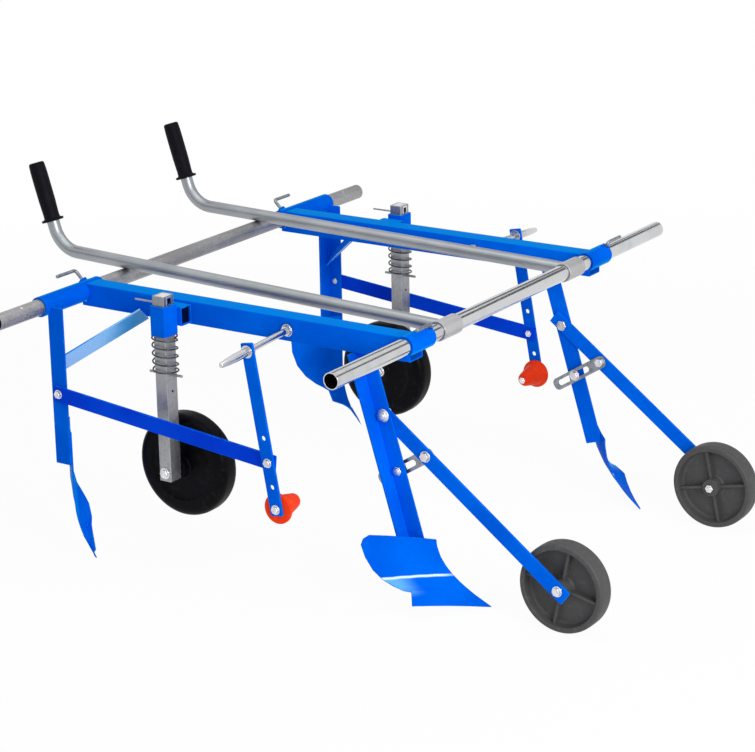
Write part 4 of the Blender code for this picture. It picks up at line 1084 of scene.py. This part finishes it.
@dataclass
class SideFrame(SideAssembly):
    """A side's rail, sleeves, clamp screws, posts, brace and link bar."""

    screw_radius: float = 0.0035
    screw_bend: float = 0.0062
    screw_bend_steps: int = 8
    screw_tip: float = 0.0012
    screw_tip_steps: int = 3
    front_screw: Triple = (-30.0, 0.0095, 0.050)
    rear_screw: Triple = (45.0, 0.023, 0.055)
    boss_top: float = 0.0235
    tube_radius: float = 0.0155
    post_bolt: float = 0.004
    rear_post_offset: float = 0.467
    bolt_behind_front: float = 0.7155
    bolt_under_front: float = 0.176
    washer_lip: float = 0.0014

    def build(self) -> None:
        """Builds the side's frame."""
        body = self.body("side")
        for name in ("rail", "front_sleeve", "rear_sleeve", "front_post", "rear_post"):
            dress(self.node(name), body, PAINT)
        dress(self.node("link_bar"), body, LINK_PAINT)
        # The brace's lighter enamel is a painted reflection.
        dress(self.node("brace"), body, BRACE_PAINT_LIT)
        self.screw("front", *self.front_screw)
        self.screw("rear", *self.rear_screw)
        self.link_fixing()

    def screw(self, end: str, lean: float, rise: float, bar: float) -> None:
        """Bends a clamp screw from round rod.

        Args:
            end: the end of the rail that it clamps.
            lean: its lean behind the vertical, in degrees.
            rise: the height of its bar over the boss.
            bar: the length of its bar.
        """
        foot = self.joint(f"{end}_clamp_turn")
        tilt = math.radians(lean)
        radial = Vector((-math.sin(tilt), 0.0, math.cos(tilt)))
        across = Vector((0.0, self.side.sign, 0.0))
        straight = self.boss_top + rise - self.tube_radius - PLAY - self.screw_bend
        blank = Blank()
        turn = UP.rotation_difference(radial).to_matrix().to_4x4()
        ring = blank.hoop(self.screw_radius, Matrix.Translation(foot) @ turn)
        ring = blank.push(ring, radial * straight)
        centre = foot + radial * straight + across * self.screw_bend
        ring = blank.sweep(ring, centre, radial.cross(across), QUARTER_TURN, self.screw_bend_steps)
        blank.push(ring, across * (bar - self.screw_bend))
        blank.cap().soften(self.screw_tip, self.screw_tip_steps)
        node = self.node(f"{end}_clamp_screw")
        blank.piece(f"bent_{node}", self.body(f"{end}_clamp"), PLATE_ZINC, (node,))

    def link_fixing(self) -> None:
        """Adds the bolt that joins the link bar to the rear post."""
        front = middle_of("front_cross_tube")
        head = self.post_bolt * HEAD_RATIO + PLAY
        shank = Span(-0.0098, -0.0040, self.post_bolt + PLAY)
        nut = Span(-0.0072, -0.0041, head, HEX)
        washer = Span(0.0054, 0.0066, head + self.washer_lip)
        cap = Span(0.0066, 0.0108, head, HEX)
        x, z = front.x - self.bolt_behind_front, front.z - self.bolt_under_front
        place = self.side.outward(x, z, y=self.rear_post_offset)
        self.fix(self.node("post_bolt"), "side", (shank, nut, washer, cap), place, BOLT_EDGE)


@dataclass
class PressUnit(SideAssembly):
    """A side's sprung press wheel with its post, socket, spacer, spring and axle."""

    coil_radius: float = 0.0238
    wire_radius: float = 0.0016
    wire_sides: int = 10
    coils: int = 4
    coil_steps: int = 24
    end_coils: float = 0.75
    end_pitch: float = 0.0042
    travel: float = 0.040
    axle_radius: float = 0.005
    washer: float = 0.0016
    washer_lip: float = 0.0022
    nut: float = 0.0056
    wheel_half: float = 0.028
    hub_reach: float = 0.012
    wheel_radius: float = 0.102
    wheel_steps: int = 96
    post_depth: float = 0.027
    post_width: float = 0.032
    post_wall: float = 0.0020
    lid_height: Pair = (-0.0030, -0.0004)
    tongue_half: float = 0.0072
    tongue_height: Pair = (-0.0190, -0.0020)
    tongue_proud: Pair = (-0.0002, 0.0005)
    # The notch and the hole are near-black patches of painted shade on the front face.
    notch_half: float = 0.0046
    notch_height: Pair = (-0.0186, -0.0050)
    notch_proud: Pair = (0.0002, 0.0007)
    hole_radius: float = 0.0026
    hole_thickness: float = 0.0004
    hole_steps: int = 20
    hole_under_top: float = 0.185
    plate_edge: float = 0.0004
    # The inset and reach of the block of painted shade inside the spacer.
    spacer_wall_thickness: float = 0.0026
    spacer_wall_reach: float = 0.021

    def build(self) -> None:
        """Builds the press wheel and what carries it."""
        for name in ("press_socket", "socket_spacer"):
            dress(self.node(name), self.body("side"), PAINT)
        dress(self.node("press_post"), self.body("press"), POST_STEEL)
        self.cap()
        self.spacer_wall()
        self.spring()
        self.wheel()
        self.axle()

    def on_front(self, blank: Blank, half: float, proud: Pair, height: Pair) -> Blank:
        """Adds a flat patch to the post's front face, under its top, and returns the blank."""
        face = self.post_depth / 2.0
        return blank.box((face + proud[0], -half, height[0]), (face + proud[1], half, height[1]))

    def cap(self) -> None:
        """Closes the post's top with a folded plate, and marks the notch and the hole in its front face with
        painted shade.
        """
        body = self.body("press")
        middle = middle_of(self.node("press_socket"))
        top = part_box(self.node("press_post"))[1].z
        place = Matrix.Translation((middle.x, middle.y, top))
        across = self.post_width / 2.0 - self.post_wall - PLAY
        along = self.post_depth / 2.0 - self.post_wall - PLAY
        under, over = self.lid_height
        lid = Blank().box((-along, -across, under), (along, across, over))
        self.on_front(lid, self.tongue_half, self.tongue_proud, self.tongue_height).soften(self.plate_edge)
        lid.move(place).piece(self.node("post_lid"), body, ZINC)
        # Near-black patches stand for the shade in the notch and the hole: painted shade.
        dark = self.on_front(Blank(), self.notch_half, self.notch_proud, self.notch_height)
        front = Matrix.Translation((self.post_depth / 2.0, 0.0, -self.hole_under_top))
        bmesh.ops.create_cone(
            dark.form, cap_ends=True, segments=self.hole_steps, radius1=self.hole_radius,
            radius2=self.hole_radius, depth=self.hole_thickness,
            matrix=front @ Matrix.Rotation(QUARTER_TURN, 4, "Y"),
        )
        dark.move(place).piece(self.node("post_openings"), body, PRESS_PLASTIC)

    def spacer_wall(self) -> None:
        """Puts a near-black block inside the spacer as painted shade, which keeps its ends dark."""
        low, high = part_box(self.node("socket_spacer"))
        inset = Vector((0.0, self.spacer_wall_thickness, self.spacer_wall_thickness))
        middle = Vector(((low.x + high.x) / 2.0, 0.0, 0.0))
        near = Vector((-self.spacer_wall_reach, low.y, low.z)) + middle + inset
        far = Vector((self.spacer_wall_reach, high.y, high.z)) + middle - inset
        blank = Blank().box(near, far).soften(self.plate_edge)
        blank.piece(self.node("spacer_wall"), self.body("side"), PAINTED_SHADE)

    def spring(self) -> None:
        """Winds the spring round the post."""
        node = self.node("press_spring")
        low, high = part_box(node)
        axis = middle_of(self.node("press_socket"))
        full = high.z - low.z
        length = full - 2.0 * self.wire_radius
        pitch_between = (length - 2.0 * self.end_coils * self.end_pitch) / self.coils
        blank = Blank()
        start = Vector((axis.x + self.coil_radius, axis.y, high.z - self.wire_radius))
        upright = Matrix.Translation(start) @ Matrix.Rotation(QUARTER_TURN, 4, "X")
        ring = blank.hoop(self.wire_radius, upright, self.wire_sides)
        centre = Vector((axis.x, axis.y, 0.0))
        close = (self.end_coils, self.end_pitch)
        for turns, pitch in (close, (self.coils, pitch_between), close):
            steps = round(self.coil_steps * turns)
            ring = blank.sweep(ring, centre, UP, FULL_TURN * turns, steps, UP * (-pitch / self.coil_steps))
        spring = blank.cap().piece(f"wound_{node}", self.body("press"), SPRING_WIRE, (node,))
        self.body("press_slide")
        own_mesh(spring)

    def wheel(self) -> None:
        """Turns the wheel with its dished faces, rounded tread and long hub."""
        node = self.node("press_wheel")
        at = self.joint("press_wheel_spin")
        half, rim = self.wheel_half, self.wheel_radius
        flank = (
            (0.0216, half - 0.0020), (0.0225, half - 0.0036), (0.0260, half - 0.0046),
            (0.0560, half - 0.0052), (0.0660, half - 0.0046), (0.0680, half - 0.0026),
            (0.0700, half - 0.0020), (0.0850, half - 0.0024), (rim - 0.0100, half - 0.0040),
            (rim - 0.0054, half - 0.0070), (rim - 0.0024, half - 0.0108), (rim - 0.0008, half - 0.0150),
            (rim, half - 0.0200),
        )
        bore = self.axle_radius + PLAY
        reach = half + self.hub_reach
        profile = [(bore, reach), (0.0195, reach), (0.0208, reach - 0.0013), (0.0212, half)]
        profile += flank
        profile += [(radius, -height) for radius, height in reversed(flank)]
        profile += [(0.0208, -half + 0.0013), (0.0195, -half), (bore, -half)]
        blank = Blank().turn(profile, self.wheel_steps).move(self.side.outward(at.x, at.z, y=abs(at.y)))
        blank.piece(f"turned_{node}", self.body("press_wheel"), PRESS_PLASTIC, (node,))

    def axle(self) -> None:
        """Makes the axle bolt with its washers, head and nut."""
        node = self.node("press_axle")
        start, end = self.ends(node)
        at = self.joint("press_wheel_spin")
        post = abs(middle_of(self.node("press_socket")).y)
        outer = post + self.post_width / 2.0 + PLAY
        inner = outer - self.post_width - 2.0 * self.wheel_half - self.hub_reach - 3.0 * PLAY
        head = self.axle_radius * HEAD_RATIO
        lip = head + self.washer_lip
        spans = (
            Span(start, end - SHANK_INSET, self.axle_radius),
            Span(outer, outer + self.washer, lip),
            Span(outer + self.washer, end, head, HEX),
            Span(inner - self.washer, inner, lip),
            Span(inner - self.washer - self.nut, inner - self.washer, head, HEX),
        )
        self.fix(f"hex_{node}", "press", spans, self.side.outward(at.x, at.z), BOLT_EDGE, (node,))


@dataclass
class FilmHolder(SideAssembly):
    """A side's film rod, arm, cone and the bolts on them."""

    rod_radius: float = 0.006
    rod_behind_front: float = 0.263
    rod_under_front: float = 0.020
    rod_droop: float = 3.5
    rod_end: float = 0.558
    rod_past_nut: float = 0.0025
    rod_chamfer: float = 0.0008
    rod_steps: int = 40
    rod_sharp: float = 60.0
    rail_faces: Pair = (0.309, 0.353)
    rail_washer: float = 0.0016
    rail_nut: float = 0.0072
    arm_washer: float = 0.0024
    arm_thickness: float = 0.005
    arm_tilt: float = 10.0
    link_down: float = 0.208
    link_bolt_radius: float = 0.0040
    link_washer_lip: float = 0.0014
    cone_bolt_radius: float = 0.0042
    cone_washer: float = 0.0012
    cone_washer_lip: float = 0.0018
    cone_nut: float = 0.0060
    cone_radius: float = 0.029
    cone_length: float = 0.056
    cone_steps: int = 64

    @property
    def middle(self) -> float:
        """Returns how far the arm's middle lies from the machine's middle plane."""
        return abs(self.joint("film_cone_spin").y) + self.arm_thickness / 2.0 + PLAY

    @property
    def rod_place(self) -> Pair:
        """Returns where the rod passes through the arm, along X and Z."""
        front = middle_of("front_cross_tube")
        return front.x - self.rod_behind_front, front.z - self.rod_under_front

    def build(self) -> None:
        """Builds the film holder."""
        dress(self.node("film_arm"), self.body("side"), PAINT)
        self.rod()
        self.cone()
        self.cone_bolt()
        self.link_bolt()

    def rod(self) -> None:
        """Makes the plated rod with its nuts on the rail and its washers on the arm."""
        node = self.node("film_rod")
        droop = math.radians(self.rod_droop)
        stretch, fall = 1.0 / math.cos(droop), math.tan(droop)
        radius = self.rod_radius
        nut, washer = radius * HEAD_RATIO, radius * 2.0
        inner, outer = ((rail - self.middle) * stretch for rail in self.rail_faces)
        inner -= nut * fall + PLAY
        outer += nut * fall + PLAY
        start = inner - self.rail_nut - self.rod_past_nut
        face = self.arm_thickness / 2.0 * stretch + washer * fall + PLAY
        shoulder = face + self.arm_washer
        tip = (self.rod_end - self.middle) * stretch
        profile = (
            (0.0, start), (radius - self.rod_chamfer, start), (radius, start + self.rod_chamfer),
            (radius, shoulder), (0.0080, shoulder + 0.0002), (0.0079, tip - 0.040), (0.0068, tip - 0.018),
            (0.0052, tip - 0.0030), (0.0036, tip), (0.0, tip),
        )
        spans = (
            Span(inner - self.rail_nut, inner, nut, HEX),
            Span(outer, outer + self.rail_washer, washer),
            Span(outer + self.rail_washer, outer + self.rail_nut, nut, HEX),
            Span(-shoulder, -face, washer),
            Span(face, shoulder, washer),
        )
        blank = Blank().turn(profile, self.rod_steps).prisms(spans)
        blank.soften(EDGE, angle=self.rod_sharp)
        blank.move(self.side.outward(*self.rod_place, droop, self.middle))
        blank.piece(f"plated_{node}", self.body("side"), CHROME, (node,))

    def cone(self) -> None:
        """Turns the cone."""
        node = self.node("film_cone")
        at = self.joint("film_cone_spin")
        base, length, bore = self.cone_radius, self.cone_length, self.cone_bolt_radius + PLAY
        profile = (
            (bore, 0.0), (base - 0.0015, 0.0), (base - 0.0004, -0.0005), (base, -0.0016), (base, -0.0054),
            (base - 0.0005, -0.0066), (base - 0.0018, -0.0072), (0.0250, -0.0085), (0.0225, -0.0150),
            (0.0196, -0.0270), (0.0172, -0.0380), (0.0152, -0.0470), (0.0140, -0.0520), (0.0124, -0.0549),
            (0.0104, -length), (bore, -length),
        )
        blank = Blank().turn(profile, self.cone_steps).move(self.side.outward(at.x, at.z, y=abs(at.y)))
        blank.piece(f"turned_{node}", self.body("film_cone"), CONE_PLASTIC, (node,))

    def cone_bolt(self) -> None:
        """Makes the bolt that the cone spins on."""
        node = self.node("cone_bolt")
        start, end = self.ends(node)
        at = self.joint("film_cone_spin")
        head = self.cone_bolt_radius * HEAD_RATIO
        outer = self.middle + self.arm_thickness / 2.0 + PLAY
        inner = abs(at.y) - self.cone_length - PLAY
        spans = (
            Span(start, end - SHANK_INSET, self.cone_bolt_radius),
            Span(outer, outer + self.cone_washer, head + self.cone_washer_lip),
            Span(outer + self.cone_washer, end, head, HEX),
            Span(inner - self.cone_nut, inner, head, HEX),
        )
        self.fix(f"hex_{node}", "side", spans, self.side.outward(at.x, at.z), stands_for=(node,))

    def link_bolt(self) -> None:
        """Adds the bolt that joins the arm to the link bar."""
        tilt = math.radians(self.arm_tilt)
        x, z = self.rod_place
        x, z = x + math.sin(tilt) * self.link_down, z - math.cos(tilt) * self.link_down
        head = self.link_bolt_radius * HEAD_RATIO + PLAY
        shank = Span(-0.0157, -0.0080, self.link_bolt_radius + PLAY)
        nut = Span(-0.0132, -0.0080, head, HEX)
        washer = Span(0.0025, 0.0036, head + self.link_washer_lip)
        cap = Span(0.0036, 0.0074, head, HEX)
        place = self.side.outward(x, z, y=self.middle)
        self.fix(self.node("link_bolt"), "side", (shank, nut, washer, cap), place)


@dataclass
class GaugeUnit(SideAssembly):
    """A side's gauge wheel with its swing arm, slotted plate, axle and bolts."""

    post_back: float = 0.1237
    post_tilt: float = 16.8
    post_top: float = 0.034
    mid_flange: float = 0.0195
    slot_along: float = 0.230
    flange: float = 0.333
    pivot_bolt: float = 0.0063
    pivot_head: float = 0.0108
    pivot_washer: float = 0.0126
    plate_bolt: float = 0.0053
    plate_head: float = 0.0091
    slot_washer: float = 0.0108
    plate_washer: float = 0.0106
    wheel_radius: float = 0.084
    wheel_half: float = 0.020
    wheel_steps: int = 96
    wheel_edge: float = 0.0007
    wheel_sharp: float = 70.0
    hub_radius: float = 0.017
    hub_proud: float = 0.004
    ribs: int = 4
    rib_turn: float = -12.0
    rib_half: float = 0.0025
    rib_height: float = 0.0150
    rib_end: float = 0.0725
    rib_lap: float = 0.003
    axle_radius: float = 0.0048
    axle_washer: float = 0.0014
    axle_washer_lip: float = 0.0016
    axle_past_nut: float = 0.0025
    head_depth_ratio: float = 1.2

    def build(self) -> None:
        """Builds the gauge wheel and what carries it."""
        dress(self.node("front_arm"), self.body("front_arm"), PAINT)
        dress(self.node("slotted_plate"), self.body("slotted_plate"), PLATE_ZINC)
        self.wheel()
        self.axle()
        self.bolts()

    def wheel(self) -> None:
        """Turns the wheel with its lip, recessed web and hub, and sets the ribs in it."""
        node = self.node("front_wheel")
        at = self.joint("front_wheel_spin")
        half, rim, hub = self.wheel_half, self.wheel_radius, self.hub_radius
        hub_half, bore = half + self.hub_proud, self.axle_radius + PLAY
        flank = (
            (bore, hub_half), (hub - 0.001, hub_half), (hub, hub_half - 0.001), (hub + 0.0012, 0.0075),
            (hub + 0.0035, 0.0040), (0.0240, 0.0035), (0.0640, 0.0035), (0.0680, 0.0042), (0.0703, 0.0075),
            (0.0722, half - 0.0012), (0.0736, half), (0.0790, half), (0.0812, half - 0.0010),
            (0.0828, half - 0.0032), (rim - 0.0003, half - 0.0065), (rim, half - 0.0120),
        )
        profile = list(flank) + [(radius, -height) for radius, height in reversed(flank)]
        blank = Blank().turn(profile, self.wheel_steps)
        near = (hub - self.rib_lap, -self.rib_half, -self.rib_height)
        far = (self.rib_end, self.rib_half, self.rib_height)
        for rib in range(self.ribs):
            turn = FULL_TURN * rib / self.ribs + math.radians(self.rib_turn)
            blank.box(near, far, Matrix.Rotation(turn, 4, "Z"))
        blank.soften(self.wheel_edge, angle=self.wheel_sharp)
        blank.move(self.side.outward(at.x, at.z, y=abs(at.y)))
        blank.piece(f"turned_{node}", self.body("front_wheel"), GAUGE_PLASTIC, (node,))

    def axle(self) -> None:
        """Makes the axle bolt with its washer, head and nut."""
        node = self.node("front_axle")
        start, end = self.ends(node)
        at = self.joint("front_wheel_spin")
        head = self.axle_radius * HEAD_RATIO
        depth = self.axle_radius * self.head_depth_ratio
        outer, nut = end - depth, start + self.axle_past_nut
        spans = (
            Span(start, end - SHANK_INSET, self.axle_radius),
            Span(outer, outer + self.axle_washer, head + self.axle_washer_lip),
            Span(outer + self.axle_washer, end, head, HEX),
            Span(nut, nut + depth, head, HEX),
        )
        self.fix(f"hex_{node}", "front_arm", spans, self.side.outward(at.x, at.z), BOLT_EDGE, (node,))

    def bolts(self) -> None:
        """Adds the bolts of the swing arm, the slot and the slotted plate, outward from the flange."""
        pivot, plate = self.joint("front_arm_swing"), self.joint("slotted_plate_swing")
        front = middle_of("front_cross_tube")
        cosine, sine = math.cos(math.radians(self.post_tilt)), math.sin(math.radians(self.post_tilt))
        slot_x = front.x - self.post_back + cosine * self.mid_flange + sine * self.slot_along
        slot_z = front.z - self.post_top + sine * self.mid_flange - cosine * self.slot_along
        fixings = (
            ("pivot_bolt", "side", pivot.x, pivot.z, (
                Span(0.0040, 0.0120, self.pivot_bolt), Span(0.0040, 0.0054, self.pivot_washer),
                Span(0.0040, 0.0095, self.pivot_head, HEX), Span(-0.0131, -0.0056, self.pivot_head, HEX),
            )),
            ("slot_bolt", "side", slot_x, slot_z, (
                Span(0.0040, 0.0108, self.plate_bolt), Span(0.0040, 0.0083, self.plate_head, HEX),
                Span(-0.0110, -0.0099, self.slot_washer), Span(-0.0162, -0.0099, self.plate_head, HEX),
            )),
            ("plate_bolt", "slotted_plate", plate.x, plate.z, (
                Span(0.0001, 0.0013, self.plate_washer), Span(0.0001, 0.0064, self.plate_head, HEX),
                Span(-0.0149, -0.0096, self.plate_head, HEX),
            )),
        )
        for name, body, x, z, spans in fixings:
            self.fix(self.node(name), body, spans, self.side.outward(x, z, y=self.flange))


@dataclass
class Ploughs(SideAssembly):
    """A side's furrow plough in front and covering plough behind."""

    rim_angle: float = 60.0
    join_angle: float = 20.0
    skew_angle: float = 60.0

    def build(self) -> None:
        """Dresses both ploughs with smooth sheets and rounded rims."""
        for name, finish in (("front_plough", PLOUGH_PAINTED_HIGHLIGHT), ("rear_plough", PAINT)):
            node = self.node(name)
            blank = Blank.of_node(node, flat=False)
            bmesh.ops.join_triangles(
                blank.form, faces=blank.form.faces, angle_face_threshold=math.radians(self.join_angle),
                angle_shape_threshold=math.radians(self.skew_angle),
            )
            blank.soften(EDGE, angle=self.rim_angle)
            blank.piece(f"smooth_{node}", self.body("side"), finish, (node,))


@dataclass
class Studio:
    """The floor, the light and the camera."""

    floor_radius: float = 30.0
    floor_sides: int = 96
    floor_colour: float = 0.92
    fade: Pair = (1.2, 3.2)
    white: float = 0.95
    ambient: float = 0.42
    board_height: float = 0.4
    eye: Triple = (2.2630, -3.8795, 1.2682)
    azimuth: float = 33.015
    elevation: float = 17.646
    roll: float = -0.864
    lens: float = 118.37
    sensor: float = 36.0
    shift: Pair = (-0.0250, 0.0049)
    sight: float = 100.0

    def build(self) -> None:
        """Sets up the studio."""
        bpy.context.scene.view_settings.view_transform = "Standard"
        self.floor()
        self.world()
        self.lamp("overhead", place=(0.2, -0.3, 2.7), target=(0.0, 0.0, 0.3), size=(2.8, 2.2), power=22.0)
        self.lamp("front_right", place=(3.2, -1.7, 1.6), target=(0.0, 0.0, 0.35), size=(1.8, 1.4), power=78.0)
        self.flag("far_board", way=(159.0, 31.0), distance=6.0, size=(4.0, 0.9), shade=0.16)
        self.flag("far_left_board", way=(201.0, 31.0), distance=6.0, size=(3.0, 1.2), shade=0.22)
        self.flag("left_board", way=(-33.0, 14.0), distance=5.0, size=(4.0, 1.4), shade=0.30)
        self.camera()

    def floor(self) -> None:
        """Lays a pale floor that fades to white and keeps a soft shadow."""
        form = bmesh.new()
        bmesh.ops.create_circle(form, cap_ends=True, segments=self.floor_sides, radius=self.floor_radius)
        graph = Graph("floor_paper")
        flat = graph.add("ShaderNodeVectorMath", {"operation": "LENGTH"}, {0: graph.place})
        away = Term(graph, flat.outputs["Value"]).between(*self.fade)
        share = (away * (1.0 - self.white) + self.white) * graph.seen()
        paper = graph.add("ShaderNodeBsdfDiffuse", {}, {"Color": (self.floor_colour,) * 3 + (1.0,)})
        glow = graph.add("ShaderNodeEmission", {}, {"Color": WHITE, "Strength": 1.0})
        mixed = graph.add("ShaderNodeMixShader", {}, {0: share, 1: paper.outputs[0], 2: glow.outputs[0]})
        graph.feed(graph.tree.nodes["Material Output"].inputs["Surface"], mixed.outputs[0])
        floor = put("floor", mesh_of("floor", form, graph.material))

    def world(self) -> None:
        """Makes the surroundings white to the eye and softer as light."""
        world = bpy.data.worlds.new("studio")
        bpy.context.scene.world = world
        world.use_nodes = True
        nodes = Nodes(world.node_tree)
        background = nodes.tree.nodes["Background"]
        nodes.feed(background.inputs["Color"], WHITE)
        nodes.feed(background.inputs["Strength"], nodes.seen() * (1.0 - self.ambient) + self.ambient)

    def lamp(self, name: str, place: Triple, target: Triple, size: Pair, power: float) -> None:
        """Hangs a soft lamp.

        Args:
            name: the lamp's name.
            place: where it hangs.
            target: what it points at.
            size: its width and height.
            power: its power in watts.
        """
        data = bpy.data.lights.new(name, "AREA")
        data.shape = "RECTANGLE"
        data.size, data.size_y = size
        data.energy = power
        lamp = put(name, data)
        lamp.location = place
        lamp.rotation_euler = (Vector(target) - Vector(place)).to_track_quat("-Z", "Y").to_euler()

    @staticmethod
    def toward(azimuth: float, elevation: float) -> Vector:
        """Returns the direction from the machine to an azimuth and an elevation, in degrees."""
        turn, climb = math.radians(azimuth), math.radians(elevation)
        return Vector((math.sin(turn) * math.cos(climb), -math.cos(turn) * math.cos(climb), math.sin(climb)))

    def flag(self, name: str, way: Pair, distance: float, size: Pair, shade: float) -> None:
        """Stands a dark board outside the picture, which only shows as a streak in bright metal.

        Args:
            name: the board's name.
            way: the azimuth and elevation that it stands at, in degrees.
            distance: how far it stands from the machine.
            size: its width and height.
            shade: its grey.
        """
        back = self.toward(*way)
        face = back.to_track_quat("Z", "Y").to_matrix().to_4x4()
        place = Matrix.Translation(back * distance + UP * self.board_height) @ face
        form = bmesh.new()
        bmesh.ops.create_grid(form, x_segments=1, y_segments=1, size=0.5)
        bmesh.ops.transform(form, matrix=place @ Matrix.Diagonal((*size, 1.0, 1.0)), verts=form.verts)
        grey = Graph(name).close(Base_Color=(shade, shade, shade, 1.0), Roughness=1.0)
        board = put(name, mesh_of(name, form, grey))
        board.visible_camera = False
        board.visible_diffuse = False
        board.visible_shadow = False

    def camera(self) -> None:
        """Sets the camera where the photograph was taken from, measured from the front tube."""
        data = bpy.data.cameras.new("camera")
        data.sensor_width = self.sensor
        data.lens = self.lens
        data.shift_x, data.shift_y = self.shift
        data.clip_end = self.sight
        back = self.toward(self.azimuth, self.elevation)
        right = UP.cross(back).normalized()
        up = back.cross(right)
        roll = math.radians(self.roll)
        level = right * math.cos(roll) + up * math.sin(roll)
        upright = up * math.cos(roll) - right * math.sin(roll)
        eye = middle_of("front_cross_tube") + Vector(self.eye)
        turn = Matrix((level, upright, back)).transposed().to_4x4()
        camera = put("camera", data)
        camera.matrix_world = Matrix.Translation(eye) @ turn
        bpy.context.scene.camera = camera


def main() -> None:
    """Builds the studio and the machine's sub-assemblies in order."""
    logging.basicConfig(level=logging.INFO, format="%(name)s: %(message)s")
    for thing in [thing for thing in bpy.data.objects if thing.type in ("LIGHT", "CAMERA")]:
        bpy.data.objects.remove(thing, do_unlink=True)
    Studio().build()
    CrossFrame().build()
    for side in Side:
        for assembly in (SideFrame, PressUnit, FilmHolder, GaugeUnit, Ploughs):
            assembly(side).build()


if __name__ == "__main__":
    main()
